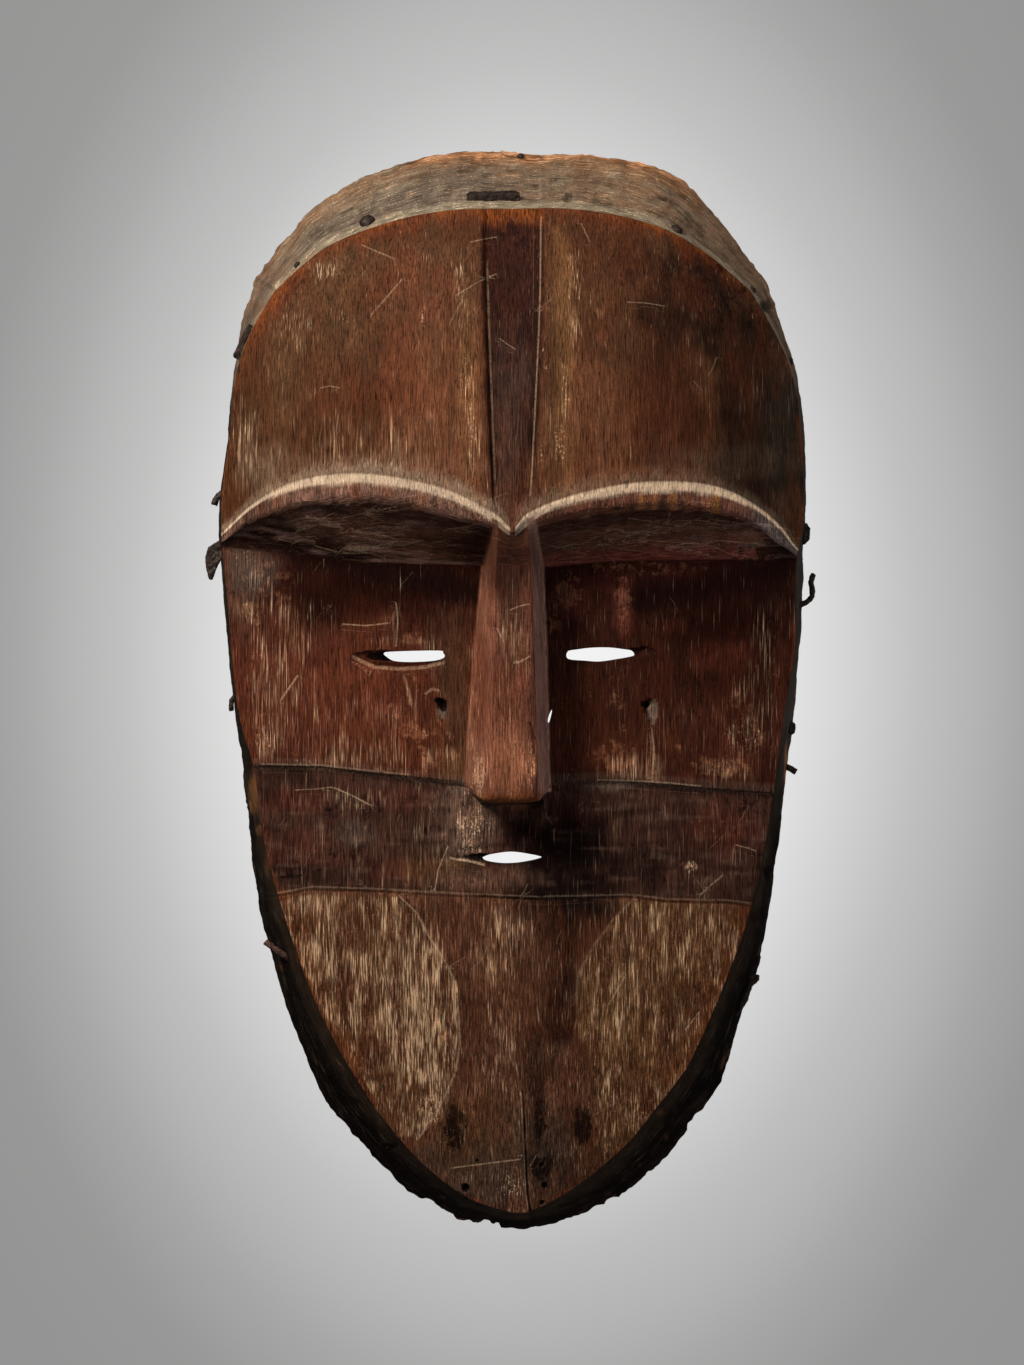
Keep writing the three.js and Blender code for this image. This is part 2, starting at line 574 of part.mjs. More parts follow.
const fixings = [
  { name: "crown_staple", side: "crown", place: -6.4, down: 0.13, turn: 0.06, make: plate,
    size: staple({ long: 18.4, wide: 4, thick: 3, leg: 6 }) },
  { name: "crown_nail_left", side: "crown", place: -49.4, down: 0.09, make: nail,
    size: { head: 3.1, dome: 3, shank: 1.1, length: 9 } },
  { name: "temple_nail_left", side: "crown", place: -73.7, down: 0.07, make: nail,
    size: { head: 1.5, dome: 1.4, shank: 0.8, length: 8 } },
  { name: "temple_staple_left", side: "left", place: 117.3, down: 0.06, make: plate,
    size: staple({ long: 12.8, wide: 2.4, thick: 2, leg: 5 }) },
  { name: "crown_nail_right", side: "crown", place: 56.4, down: 0.08, make: nail,
    size: { head: 2.5, dome: 1.6, shank: 1.1, length: 9 } },
  { name: "temple_nail_right", side: "right", place: 135.1, down: 0.06, make: nail,
    size: { head: 1.5, dome: 1.4, shank: 0.8, length: 8 } },
  { name: "side_nail_upper_right", side: "right", place: 111, down: 0.18, make: nail,
    size: { head: 1.8, dome: 1.6, shank: 0.9, length: 8 } },
  { name: "side_nail_right", side: "right", place: 52, down: 0.45, make: nail,
    size: { head: 4.1, dome: 2.4, shank: 1.3, length: 8 } },
  { name: "bent_nail_right", side: "right", place: 27, down: 0.42, make: rod,
    size: { path: bentNailPath, thick: 2.2, steps: 12 } },
  { name: "stub_nail_right", side: "right", place: -15.8, down: 0.5, make: nail,
    size: { head: 2.7, dome: 2.2, shank: 1.1, length: 8 } },
  { name: "peg_nail_right", side: "right", place: -29.4, down: 0.74, make: rod,
    size: { path: pegNailPath, thick: 2.5, steps: 5 } },
  { name: "iron_strap_right", side: "right", place: -109, down: 0.78, make: plate,
    size: { outline: strapOutline, wide: 3.4 } },
  { name: "side_nail_left", side: "left", place: 64.6, down: 0.45, make: rod,
    size: { path: sideNailLeftPath, thick: 2.6, steps: 5 } },
  { name: "hook_left", side: "left", place: 46.4, down: 0.45, make: plate,
    size: { outline: hookOutline, wide: 2.6 } },
  { name: "stub_nail_left", side: "left", place: -7, down: 0.45, make: rod,
    size: { path: stubNailLeftPath, thick: 2, steps: 5 } },
  { name: "twig_peg_left", side: "left", place: -95.1, down: 0.35, make: rod, twig: true,
    size: { path: twigPath, thick: 2.4, steps: 6 } },
  { name: "crown_back_nail", side: "crown", place: 3, down: 0.9, make: nail,
    size: { head: 1.6, dome: 1.5, shank: 0.8, length: 7 } },
];

const frontEdgeLoop = borderOf(frontSheet).map(([i, j]) => frontSheet[i][j]);
const CROWN_BEGINS = 120;

// A point of the walls on a named side, at a place along Y, or along X on the crown
function wallPoint({ side, place, down }) {
  const ring = wallRing(frontEdgeLoop, flareAt, 0, down);
  const key = side === "crown" ? "x" : "y";
  const onSide = { crown: (p) => p.y > CROWN_BEGINS, left: (p) => p.x < 0, right: (p) => p.x > 0 }[side];
  for (let i = 0; i < ring.length; i += 1) {
    const a = ring[i];
    const b = ring[(i + 1) % ring.length];
    const f = (place - a[key]) / (b[key] - a[key]);
    if (onSide(a) && onSide(b) && f >= 0 && f < 1) {
      return { point: a.clone().lerp(b, f), along: b.clone().sub(a).normalize() };
    }
  }
  return undefined;
}

const NEXT_DOWN = 0.05;

// The position and turn that put a fixing on its spot, square to the wall
function seatOf(fixing) {
  const { point, along } = wallPoint(fixing);
  const below = wallPoint({ ...fixing, down: fixing.down + NEXT_DOWN }).point;
  const slope = below.sub(point).normalize();
  const out = slope.clone().cross(along).normalize();
  const down = along.clone().cross(out);
  const seat = new THREE.Matrix4().makeBasis(along, out, down);
  const turn = new THREE.Matrix4().makeRotationY(fixing.turn ?? 0);
  return { point, turned: new THREE.Quaternion().setFromRotationMatrix(seat.multiply(turn)) };
}

const woodFinish = new THREE.MeshStandardMaterial({ color: 0x5a3323, roughness: 0.6, metalness: 0 });
const ironFinish = new THREE.MeshStandardMaterial({ color: 0x2a2624, roughness: 0.7, metalness: 0.6 });
const twigFinish = new THREE.MeshStandardMaterial({ color: 0x5c4034, roughness: 0.8, metalness: 0 });

const part = new THREE.Group();
for (const fixing of fixings) {
  const { point, turned } = seatOf(fixing);
  const piece = new THREE.Mesh(geometryFrom(solidFrom(fixing.make(fixing.size, 0))),
    fixing.twig ? twigFinish : ironFinish);
  piece.name = fixing.name;
  piece.position.copy(point);
  piece.quaternion.copy(turned);
  piece.updateMatrix();
  part.add(piece);
  cuts.push(solidFrom(fixing.make(fixing.size, SOCKET_GAP).applyMatrix4(piece.matrix)));
}

const carved = cuts.reduce((solid, cut) => solid.subtract(cut), shell);
const body = new THREE.Mesh(geometryFrom(carved), woodFinish);
body.name = "mask_body";
part.add(body);

// The origin goes to the middle of the underside of the whole
const extent = new THREE.Box3().setFromObject(part);
const middle = extent.getCenter(new THREE.Vector3());
part.position.set(-middle.x, -middle.y, -extent.min.z);

export default part;
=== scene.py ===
import itertools
import math

import bpy
import numpy as np
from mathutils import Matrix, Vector, kdtree


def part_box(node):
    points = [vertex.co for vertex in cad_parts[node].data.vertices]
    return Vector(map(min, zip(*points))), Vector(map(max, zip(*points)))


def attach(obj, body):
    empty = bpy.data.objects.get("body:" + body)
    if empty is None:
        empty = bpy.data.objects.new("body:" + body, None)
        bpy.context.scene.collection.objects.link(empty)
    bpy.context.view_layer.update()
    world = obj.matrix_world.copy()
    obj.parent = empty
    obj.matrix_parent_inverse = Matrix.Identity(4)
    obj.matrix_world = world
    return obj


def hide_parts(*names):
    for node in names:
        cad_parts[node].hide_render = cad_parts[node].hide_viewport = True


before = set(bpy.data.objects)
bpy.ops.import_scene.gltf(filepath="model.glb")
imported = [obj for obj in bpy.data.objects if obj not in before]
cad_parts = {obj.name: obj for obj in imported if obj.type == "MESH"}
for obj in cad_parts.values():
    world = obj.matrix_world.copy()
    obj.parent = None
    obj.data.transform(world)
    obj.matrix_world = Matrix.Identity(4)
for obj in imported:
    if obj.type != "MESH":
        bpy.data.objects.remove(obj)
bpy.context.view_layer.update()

# An old carved wooden face mask lies on its flat back rim, face up, on a pale floor.
# The carving is worked out in millimetres about the middle of the face; X runs to the
# viewer's right, Y towards the crown and Z out of the face.

MM = 0.001

# Sizes of the carving: heights above the back rim, then widths and depths of single features

CROWN_EDGE_HEIGHT = 69
CROWN_CORNER_HEIGHT = 52.5
BROW_HEIGHT = 84
BROW_TIP_HEIGHT = 48.5
BROW_FLARE = 1.8
BROW_FLARE_WIDTH = 7
BROW_DROOP_POWER = 2.5
LEDGE_FACE_DROP = 2.6
FACE_HEIGHT = 56
FACE_EDGE_HEIGHT = 46
BAND_HEIGHT = 54.5
BAND_EDGE_HEIGHT = 44.5
CHIN_HEIGHT = 38
CHIN_CORNER_HEIGHT = 41
FOREHEAD_SWELL = 4.5
NOSE_TOP_HEIGHT = 81.5
NOSE_END_HEIGHT = 80
NOSE_TIP_ROUNDING = 1.6
STRIP_DEPTH = 1.5
BAND_GROOVE_DEPTH = 1.7
BAND_GROOVE_WIDTH = 1.5
BAND_SINK = 0.8
KEEL_HEIGHT = 2.4
KEEL_SIDE_SHARE = 0.3
CHIN_KEEL_HEIGHT = 1.2
HALF_WIDTH = 100
WALL_BULGE = 0.8
COVE = 0.09

HOLLOW_DEPTH_AT_CROWN = 60
HOLLOW_DEPTH_AT_BROW = 74
HOLLOW_DEPTH_AT_FACE = 46.5
HOLLOW_DEPTH_AT_BAND = 44.5
HOLLOW_DEPTH_AT_CHIN = 30.5
HOLLOW_DROP_AT_CROWN = 16
HOLLOW_DROP_AT_BROW = 26
HOLLOW_DROP_AT_FACE = 8
HOLLOW_EDGE_INSET = 11.5
RIM_INSET = 1.5
BELOW_RIM = 1

# Front edge of the carving, seen from the front

LEFT_EDGE = [
    (134.3, -81.8), (112, -93.4), (86, -97.3), (58, -100.3), (26, -98), (-9.5, -94.6),
    (-29.5, -89.2), (-52.6, -86), (-83.3, -77.7), (-112, -67.2), (-134.4, -55.4),
]
RIGHT_EDGE = [
    (134.5, 82), (110, 95), (86, 99.6), (56, 100.2), (44, 98.4), (34, 97.8), (11, 97.4),
    (-6.4, 94.6), (-50.5, 88.3), (-81.6, 81.4), (-112.5, 70), (-133, 60.7),
]
CROWN_EDGE = [
    (-81.8, 134.3), (-66, 147.8), (-50.5, 154.6), (-27, 160.4), (0, 161.6), (27, 160.8),
    (50, 155.8), (66, 147.6), (82, 134.5),
]
CHIN_EDGE = [
    (-55.4, -134.4), (-43.3, -152.5), (-30.6, -166.8), (-16.5, -177.6), (-2.4, -183),
    (5.8, -183), (20.5, -175.6), (39.5, -160), (50.2, -146.8), (60.7, -133),
]

# Lines carved across the face, from left to right

LEDGE_TOP = [
    (-99.8, 51.2), (-89, 60.8), (-77, 67.4), (-62, 70.3), (-46, 70.1), (-25.4, 65.9),
    (-12.5, 60.4), (-4.6, 55.8), (0.3, 51.4), (4.6, 56.2), (17.1, 61.7), (35.2, 66.3),
    (54, 67.9), (70, 66.4), (82.8, 60.9), (92.5, 53.2), (97.9, 45.8),
]
LEDGE_FOOT = [
    (-99.4, 48.4), (-91, 55.2), (-79, 59.9), (-64.5, 62.8), (-48.6, 63.1), (-33, 60.7),
    (-17.6, 56.3), (-6, 53.2), (0.3, 49.2), (6, 53.2), (19.8, 57.2), (35, 59.5),
    (54, 60.6), (71, 59), (81, 56), (90, 49.8), (97.9, 43.8),
]
UNDERBROW_FOOT = [
    (-99.3, 46.6), (-76.4, 44.2), (-55, 41.6), (-10, 40.2), (11, 39.6), (44, 41.8), (98.5, 42),
]
BAND_TOP = [
    (-89.5, -28.6), (-65.7, -29.1), (-40, -32), (-17.9, -34.2), (0, -34.6), (30.4, -33.6),
    (54.3, -35.1), (90, -37.9),
]
BAND_FOOT = [(-81, -72.4), (-44, -72), (9.6, -74.6), (41.3, -74), (82.6, -77)]
NOSE_END = [
    (-88, -37.5), (-30, -39.5), (-14.6, -36.4), (-10.5, -39.6), (0, -40.2), (9, -39.8),
    (12.6, -37), (30, -41.5), (89, -44.5),
]

# The carved lines count from 0 at the crown edge to 10 at the chin. Each of these numbers is the
# line where a stretch of the face starts, and a place between two lines is a number between theirs.
AT_FLARE = 1
AT_LEDGE = 2
AT_LEDGE_FOOT = 3
AT_FACE = 4
AT_BAND = 5
AT_NOSE_END = 7
AT_NOSE_FOOT = 8
AT_LOWER = 9

# Lines carved down the middle: outer left, inner left, inner right and outer right

STRIP_AT_CROWN = (-10, -8.6, 8.8, 10.2)
STRIP_MIDWAY = (-7.1, -6.2, 6.1, 7.1)
NOSE_AT_BROW = (-6, -5, 5.4, 6.4)
NOSE_AT_LEDGE_FOOT = (-6.3, -5.1, 5.4, 7.6)
NOSE_AT_UNDERBROW = (-9.8, -6.1, 6.3, 10.2)
NOSE_AT_BAND = (-15.8, -7.4, 8.7, 12.6)
NOSE_AT_END = (-14.8, -7.6, 8.8, 12.8)
KEEL_AT_BAND_FOOT = (-20, -7, 16, 27)
KEEL_AT_CHIN = (-8, 1.6, 8.8, 18)

# How far the walls lean out between the front edge and the back rim, by place along Y

LEFT_FLARE = [
    (-184, 8.5), (-176, 10.6), (-168, 12.8), (-154, 13.6), (-137, 15.2), (-112, 12.4),
    (-78, 10), (-52, 7), (-28, 6), (-10, 2.8), (20, 2.6), (60, 2.2), (100, 2.4), (112, 4.2),
    (130, 10.5), (146, 16.4), (156, 23.4), (162, 26.3),
]
RIGHT_FLARE = [
    (-184, 8.8), (-176, 12.2), (-168, 14.4), (-145, 15.4), (-128, 13.9), (-113, 11.8),
    (-97, 11), (-70, 7.8), (-39, 6), (-8, 5.4), (10, 3.6), (38, 4.8), (52, 2.6), (100, 3.4),
    (112, 4.6), (132, 9.4), (144, 14.6), (152, 20), (157, 25.4), (162, 25),
]
FLARE_BLEND = 30

# Where the outer and inner middle lines fall across the sheet, from -1 at left to 1 at right
OUTER_LINE = 0.16
INNER_LINE = 0.1


def mix(a, b, f):
    return a + (b - a) * f


def arch(f):
    """Rises from 0 to 1 at the middle of a stretch and falls back to 0 at its end."""
    return 4 * f * (1 - f)


def smooth(low, high, value):
    """Goes softly from 0 at low to 1 at high; high may be under low."""
    f = np.clip((value - low) / (high - low), 0, 1)
    return f * f * (3 - 2 * f)


def through(points):
    """A smooth function through points given as (place, value)."""
    at, value = np.array(sorted(points), float).T
    chord = np.diff(value) / np.diff(at)
    slope = np.empty_like(value)
    slope[1:-1] = (value[2:] - value[:-2]) / (at[2:] - at[:-2])
    slope[0] = chord[0] + (chord[0] - slope[1]) / 2
    slope[-1] = chord[-1] + (chord[-1] - slope[-2]) / 2

    def curve(place):
        x = np.clip(place, at[0], at[-1])
        i = np.clip(np.searchsorted(at, x, side="left") - 1, 0, len(at) - 2)
        span = at[i + 1] - at[i]
        f = (x - at[i]) / span
        rise = value[i + 1] - value[i]
        start = slope[i] * span - rise
        end = rise - slope[i + 1] * span
        return value[i] + rise * f + f * (1 - f) * ((1 - f) * start + f * end)

    return curve


def noise(points, size, seed):
    """Smooth noise from -1 to 1; its lumps are about size across, one size for each axis."""
    grid = points / np.array(size, float)
    base = np.floor(grid).astype(np.int64)
    part = grid - base
    part = part * part * (3 - 2 * part)
    total = np.zeros(len(points))
    for corner in itertools.product((0, 1), repeat=3):
        place = base + np.array(corner)
        key = place @ np.array([374761393, 668265263, 1103515245]) + seed * 1274126177
        key = ((key ^ (key >> 13)) * 1274126177) & 0xFFFFFFFF
        value = ((key ^ (key >> 16)) & 0xFFFF) / 32767.5 - 1
        total += value * np.prod(np.where(corner, part, 1 - part), axis=1)
    return total


# The carved sheet


def columns_of(side_steps, facet_steps, middle_steps):
    """Places of the columns of a sheet, closer together in the middle."""
    facet = np.linspace(OUTER_LINE, INNER_LINE, facet_steps + 1)
    side = np.linspace(1, OUTER_LINE, side_steps + 1)
    middle = np.linspace(-INNER_LINE, INNER_LINE, middle_steps + 1)
    left = np.concatenate([-side[:-1], -facet[:-1]])
    return np.concatenate([left, middle, -left[::-1]])


def points_on(row, places):
    """Points of one carved line: X and Y, and the height from the side and middle profiles."""
    side = np.where(places < 0, row["left_x"], row["right_x"])
    knots = [-1, -OUTER_LINE, -INNER_LINE, INNER_LINE, OUTER_LINE, 1]
    x = np.interp(places, knots, [row["left_x"], *row["lines"], row["right_x"]])
    outward = np.clip(np.abs(x / side), 0, 1)
    inner = np.clip((OUTER_LINE - np.abs(places)) / (OUTER_LINE - INNER_LINE), 0, 1)
    z = mix(row["side"](outward), row["middle"](np.abs(places) / INNER_LINE), inner)
    return np.stack([x, row["curve"](x), z], axis=1)


def sheet_of(rows, places, edges):
    """A sheet of points between carved lines, row by row from the crown to the chin.

    Every row ends on the outline, and the swell lifts the sheet midway between two lines.
    """
    for row in rows:
        row["curve"] = through(row["points"])
        row["left_y"] = row["points"][0][1]
        row["right_y"] = row["points"][-1][1]
        row["left_x"] = edges["left"](row["left_y"])
        row["right_x"] = edges["right"](row["right_y"])
    sheet = []
    stretches = []
    for number, (row, after) in enumerate(zip(rows, rows[1:] + [None])):
        here = points_on(row, places)
        for f in row["shares"] if after else [0]:
            line = here.copy()
            if f:
                there = points_on(after, places)
                line[:, :2] = mix(here, there, f)[:, :2]
                line[:, 2] = mix(here[:, 2], there[:, 2], f + row.get("cove", 0) * math.sin(math.pi * f))
                straight = np.where(places < 0, mix(row["left_x"], after["left_x"], f),
                                    mix(row["right_x"], after["right_x"], f))
                true = np.where(places < 0, edges["left"](mix(row["left_y"], after["left_y"], f)),
                                edges["right"](mix(row["right_y"], after["right_y"], f)))
                outward = line[:, 0] / straight
                line[:, 0] += np.maximum(outward, 0) * (true - straight)
                line[:, 2] += row.get("swell", 0) * arch(f) * (1 - outward ** 2)
            sheet.append(line)
            stretches.append(number + f)
    return np.array(sheet), np.array(stretches)


def even(steps):
    """Shares of a stretch in even steps, without its end."""
    return np.linspace(0, 1, steps, endpoint=False)


def crowded(start, end, before, within, after):
    """Shares of a stretch with finer steps between start and end."""
    return np.concatenate([np.linspace(0, start, before, endpoint=False),
                           np.linspace(start, end, within, endpoint=False),
                           np.linspace(end, 1, after, endpoint=False)])


def dome(top, drop, power=2):
    return lambda u: top - drop * u ** power


def flat(height):
    return lambda u: np.full_like(u, height, dtype=float)


def front_rows():
    """Carved rows of the outside, from the crown edge to the chin edge."""
    brow = dome(BROW_HEIGHT, BROW_HEIGHT - BROW_TIP_HEIGHT, BROW_DROOP_POWER)
    band = dome(BAND_HEIGHT, BAND_HEIGHT - BAND_EDGE_HEIGHT)
    above_ledge = [(x, y + BROW_FLARE_WIDTH * (1 - (x / HALF_WIDTH) ** 2 / 2)) for x, y in LEDGE_TOP]
    groove_foot = [(x, y - BAND_GROOVE_WIDTH) for x, y in BAND_TOP]
    nose_foot = [(x, y - NOSE_TIP_ROUNDING) for x, y in NOSE_END]
    return [
        {"points": CROWN_EDGE, "lines": STRIP_AT_CROWN, "shares": even(92), "swell": FOREHEAD_SWELL,
         "side": dome(CROWN_EDGE_HEIGHT, CROWN_EDGE_HEIGHT - CROWN_CORNER_HEIGHT),
         "middle": flat(CROWN_EDGE_HEIGHT - STRIP_DEPTH)},
        {"points": above_ledge, "lines": STRIP_MIDWAY, "shares": even(8),
         "side": lambda u: brow(u) - BROW_FLARE,
         "middle": flat(BROW_HEIGHT - BROW_FLARE - STRIP_DEPTH)},
        {"points": LEDGE_TOP, "lines": NOSE_AT_BROW, "shares": even(7), "side": brow,
         "middle": flat(BROW_HEIGHT)},
        {"points": LEDGE_FOOT, "lines": NOSE_AT_LEDGE_FOOT, "shares": even(26), "cove": COVE,
         "side": lambda u: brow(u) - LEDGE_FACE_DROP * (1 - u ** 2),
         "middle": flat(NOSE_TOP_HEIGHT)},
        {"points": UNDERBROW_FOOT, "lines": NOSE_AT_UNDERBROW, "shares": crowded(0.34, 0.52, 22, 28, 34),
         "side": dome(FACE_HEIGHT, FACE_HEIGHT - FACE_EDGE_HEIGHT),
         "middle": flat(NOSE_TOP_HEIGHT)},
        {"points": BAND_TOP, "lines": NOSE_AT_BAND, "shares": even(3), "side": band,
         "middle": flat(NOSE_END_HEIGHT)},
        {"points": groove_foot, "lines": NOSE_AT_BAND, "shares": even(4),
         "side": lambda u: band(u) - BAND_GROOVE_DEPTH, "middle": flat(NOSE_END_HEIGHT)},
        {"points": NOSE_END, "lines": NOSE_AT_END, "shares": even(8),
         "side": lambda u: band(u) - BAND_SINK,
         "middle": flat(NOSE_END_HEIGHT - NOSE_TIP_ROUNDING)},
        {"points": nose_foot, "lines": NOSE_AT_END, "shares": crowded(0.42, 0.72, 13, 16, 9),
         "side": lambda u: band(u) - BAND_SINK, "middle": flat(BAND_HEIGHT)},
        {"points": BAND_FOOT, "lines": KEEL_AT_BAND_FOOT, "shares": even(100), "swell": KEEL_HEIGHT,
         "side": band,
         "middle": lambda u: BAND_HEIGHT + KEEL_HEIGHT * mix(1, KEEL_SIDE_SHARE, u ** 2)},
        {"points": CHIN_EDGE, "lines": KEEL_AT_CHIN,
         "side": dome(CHIN_HEIGHT, CHIN_HEIGHT - CHIN_CORNER_HEIGHT),
         "middle": lambda u: CHIN_HEIGHT + CHIN_KEEL_HEIGHT * (1 - u)},
    ]


def hollow_rows():
    """Rows of the hollow behind the face, a plainer copy of the outside."""
    middle = (-9, -6, 6, 9)
    crown = [(-74.7, 126.5), (-58, 139), (-34, 147.4), (0, 150), (34, 147.8), (58, 139.6), (75.1, 126.5)]
    chin = [(-47.3, -128), (-34, -148), (-16, -165), (1.6, -170.5), (19, -164.6), (37, -148),
            (51.9, -127)]
    return [
        {"points": crown, "lines": middle, "shares": even(22), "swell": FOREHEAD_SWELL,
         "side": dome(HOLLOW_DEPTH_AT_CROWN, HOLLOW_DROP_AT_CROWN),
         "middle": flat(HOLLOW_DEPTH_AT_CROWN)},
        {"points": [(-87, 70), (-45, 77), (0, 76), (45, 77), (88, 68)], "lines": middle, "shares": even(12),
         "side": dome(HOLLOW_DEPTH_AT_BROW, HOLLOW_DROP_AT_BROW, BROW_DROOP_POWER),
         "middle": flat(HOLLOW_DEPTH_AT_BROW)},
        {"points": [(-87.6, 49), (0, 48), (88.4, 48)], "lines": middle, "shares": even(24),
         "side": dome(HOLLOW_DEPTH_AT_FACE, HOLLOW_DROP_AT_FACE),
         "middle": flat(HOLLOW_DEPTH_AT_FACE)},
        {"points": [(-70.8, -74), (0, -74), (72, -76)], "lines": middle, "shares": even(22),
         "side": dome(HOLLOW_DEPTH_AT_BAND, HOLLOW_DROP_AT_FACE),
         "middle": flat(HOLLOW_DEPTH_AT_BAND)},
        {"points": chin, "lines": middle, "side": flat(HOLLOW_DEPTH_AT_CHIN),
         "middle": flat(HOLLOW_DEPTH_AT_CHIN)},
    ]


# The run of a loop is taken between points this many millimetres to either side
OUTWARD_REACH = 9


def border_of(sheet):
    """Row and column of the border of a sheet, anticlockwise seen from the front."""
    last_row, last_column = sheet.shape[0] - 1, sheet.shape[1] - 1
    return np.array(
        [(i, 0) for i in range(last_row)] + [(last_row, j) for j in range(last_column)]
        + [(last_row - i, last_column) for i in range(last_row)]
        + [(0, last_column - j) for j in range(last_column)])


def outward_of(loop):
    """Directions square to a closed loop, pointing out of it, and the run along the loop."""
    closed = np.vstack([loop, loop[:1]])[:, :2]
    run = np.concatenate([[0], np.cumsum(np.hypot(*np.diff(closed, axis=0).T))])

    def at(place):
        return np.stack([np.interp(place % run[-1], run, closed[:, k]) for k in (0, 1)], axis=1)

    along = at(run[:-1] + OUTWARD_REACH) - at(run[:-1] - OUTWARD_REACH)
    along /= np.linalg.norm(along, axis=1, keepdims=True)
    return np.stack([along[:, 1], -along[:, 0], np.zeros(len(along))], axis=1), run[:-1]


flare_left, flare_right = through(LEFT_FLARE), through(RIGHT_FLARE)


def flare_at(points):
    x, y = points[:, 0], points[:, 1]
    return mix(flare_left(y), flare_right(y), smooth(-FLARE_BLEND, FLARE_BLEND, x))


# The photograph's own pixels, as measured over its whole frame, name places on the carving.
# The picture was taken square to the rim from CAMERA_HEIGHT away.

PICTURE_MIDDLE = (512, 682.5)
PICTURE_HEIGHT = 1365
MM_PER_PIXEL = 0.35316
CAMERA_HEIGHT = 2000


def pixels_of(points):
    """The pixels at which points of the carving show."""
    scale = MM_PER_PIXEL * (1 - points[:, 2] / CAMERA_HEIGHT)
    return PICTURE_MIDDLE[0] + points[:, 0] / scale, PICTURE_MIDDLE[1] - points[:, 1] / scale


def place_of(pixel, height):
    """The X and Y of a pixel on something at that height over the rim."""
    scale = MM_PER_PIXEL * (1 - height / CAMERA_HEIGHT)
    return (pixel[0] - PICTURE_MIDDLE[0]) * scale, (PICTURE_MIDDLE[1] - pixel[1]) * scale


def off_line(px, py, line):
    """Distance in pixels from a line of pixels, and the share of the line run at the nearest."""
    nearest = np.full(len(px), np.inf)
    share = np.zeros(len(px))
    line = np.array(line, float)
    lengths = np.hypot(*np.diff(line, axis=0).T)
    before = 0
    for (ax, ay), (bx, by), length in zip(line, line[1:], lengths):
        f = np.clip(((px - ax) * (bx - ax) + (py - ay) * (by - ay)) / length ** 2, 0, 1)
        distance = np.hypot(px - mix(ax, bx, f), py - mix(ay, by, f))
        closer = distance < nearest
        nearest = np.where(closer, distance, nearest)
        share = np.where(closer, (before + f * length) / lengths.sum(), share)
        before += length
    return nearest, share


def stroke(px, py, line, width):
    """1 on a line of pixels, falling softly to 0 at half its width, and thinning at its ends."""
    distance, share = off_line(px, py, line)
    taper = 0.35 + 0.65 * smooth(0, 0.25, share) * smooth(1, 0.75, share)
    return smooth(width / 2 * taper + 0.4, 0, distance)


def inside(px, py, outline):
    """True for pixels inside a closed outline of pixels."""
    result = np.zeros(len(px), bool)
    for (ax, ay), (bx, by) in zip(outline, outline[1:] + outline[:1]):
        crosses = (ay > py) != (by > py)
        with np.errstate(divide="ignore", invalid="ignore"):
            result ^= crosses & (px < (bx - ax) * (py - ay) / (by - ay) + ax)
    return result


# Openings and small damage, in the photograph's pixels

LEFT_EYE = [(383, 652.9), (394, 651.3), (438, 650.4), (443, 652.9), (444.6, 656.5), (440.4, 659.3),
            (430, 661.1), (410, 662), (394, 660.9), (387, 657.5)]
RIGHT_EYE = [(568, 651.3), (578, 649.2), (592, 647.5), (610, 647.3), (625, 649.1), (632.4, 650.5),
             (635, 654.8), (629.6, 656.7), (618, 658.8), (600, 661.4), (585, 660.6), (568, 658.7)]
MOUTH = [(482.4, 858.2), (487, 855.6), (493.7, 853.8), (511, 851.7), (528.4, 853.8), (542.4, 857.7),
         (524, 862.5), (504.5, 864), (487.2, 861.8)]
NOSE_HOLE = [(547.8, 721), (549.2, 722.6), (551.4, 715), (552.2, 709.8), (550.6, 711.6), (548.8, 716)]

# Tails of the slits, from the tip to the opening, with the depth they reach there in millimetres
LEFT_EYE_TAIL = [(351, 655.6), (366, 651.6), (386, 651), (400, 652), (400, 661), (386, 661.4), (366, 661)]
RIGHT_EYE_TAIL = [(658, 650.4), (646, 647), (633, 648.6), (622, 650), (622, 658), (634, 657.6),
                  (647, 655)]
MOUTH_TAIL = [(449, 858.4), (466, 855), (482, 854), (492, 856), (492, 861.4), (480, 862.6), (466, 861)]
TAIL_DEPTHS = [(LEFT_EYE_TAIL, 5), (RIGHT_EYE_TAIL, 3), (MOUTH_TAIL, 2.5)]
OPENING_BOTTOM = 20
OPENING_TOP = 72

CHIN_CRACK = [(522.6, 1090), (525, 1143), (526, 1166), (527.6, 1193), (530, 1209), (531, 1223)]
CHIN_HOLES = [(465.4, 1187.7, 4.2), (544.2, 1185, 3.2), (541.7, 1202.6, 2.8), (477, 1160, 2.1),
              (541, 1164.5, 2.4)]
LEFT_PIT = [(431, 698), (440, 697.5), (447, 701), (446.6, 711), (442, 712), (437, 704)]
LEFT_PIT_WEDGE = [(434, 702), (442, 710), (447, 708), (444, 722), (440, 718)]
RIGHT_PIT = (646.5, 704.5)
RIGHT_PIT_WEDGE = [(645, 703), (652, 700.5), (657.5, 703), (656.6, 716), (652, 725), (646.6, 714)]
BAND_FOOT_LEFT = [(277, 896), (312.7, 889.6), (384, 892), (434, 895), (540, 900)]
BAND_FOOT_RIGHT = [(480, 897), (533.6, 899.6), (632, 897.4), (667.5, 902), (725.5, 903), (751, 906)]
WALL_PITS = [
    (767, 872, 4, 9), (753, 916, 3.5, 8), (391, 1146, 7, 5), (284.6, 963, 4, 5), (290, 878, 9, 3),
    (766, 306, 7, 7), (568, 198, 6, 4),
]

# Broken notches in the back rim: middle in pixels, half width in pixels, depth in millimetres
RIM_NOTCHES = [
    (486, 1212, 7, 2), (497, 1218, 5, 1.6), (462, 1212, 8, -0.9), (760, 985, 10, -0.5), (430, 1196, 8, 0.9),
    (693, 1110, 8, 0.8), (610, 1196, 8, 0.7),
]

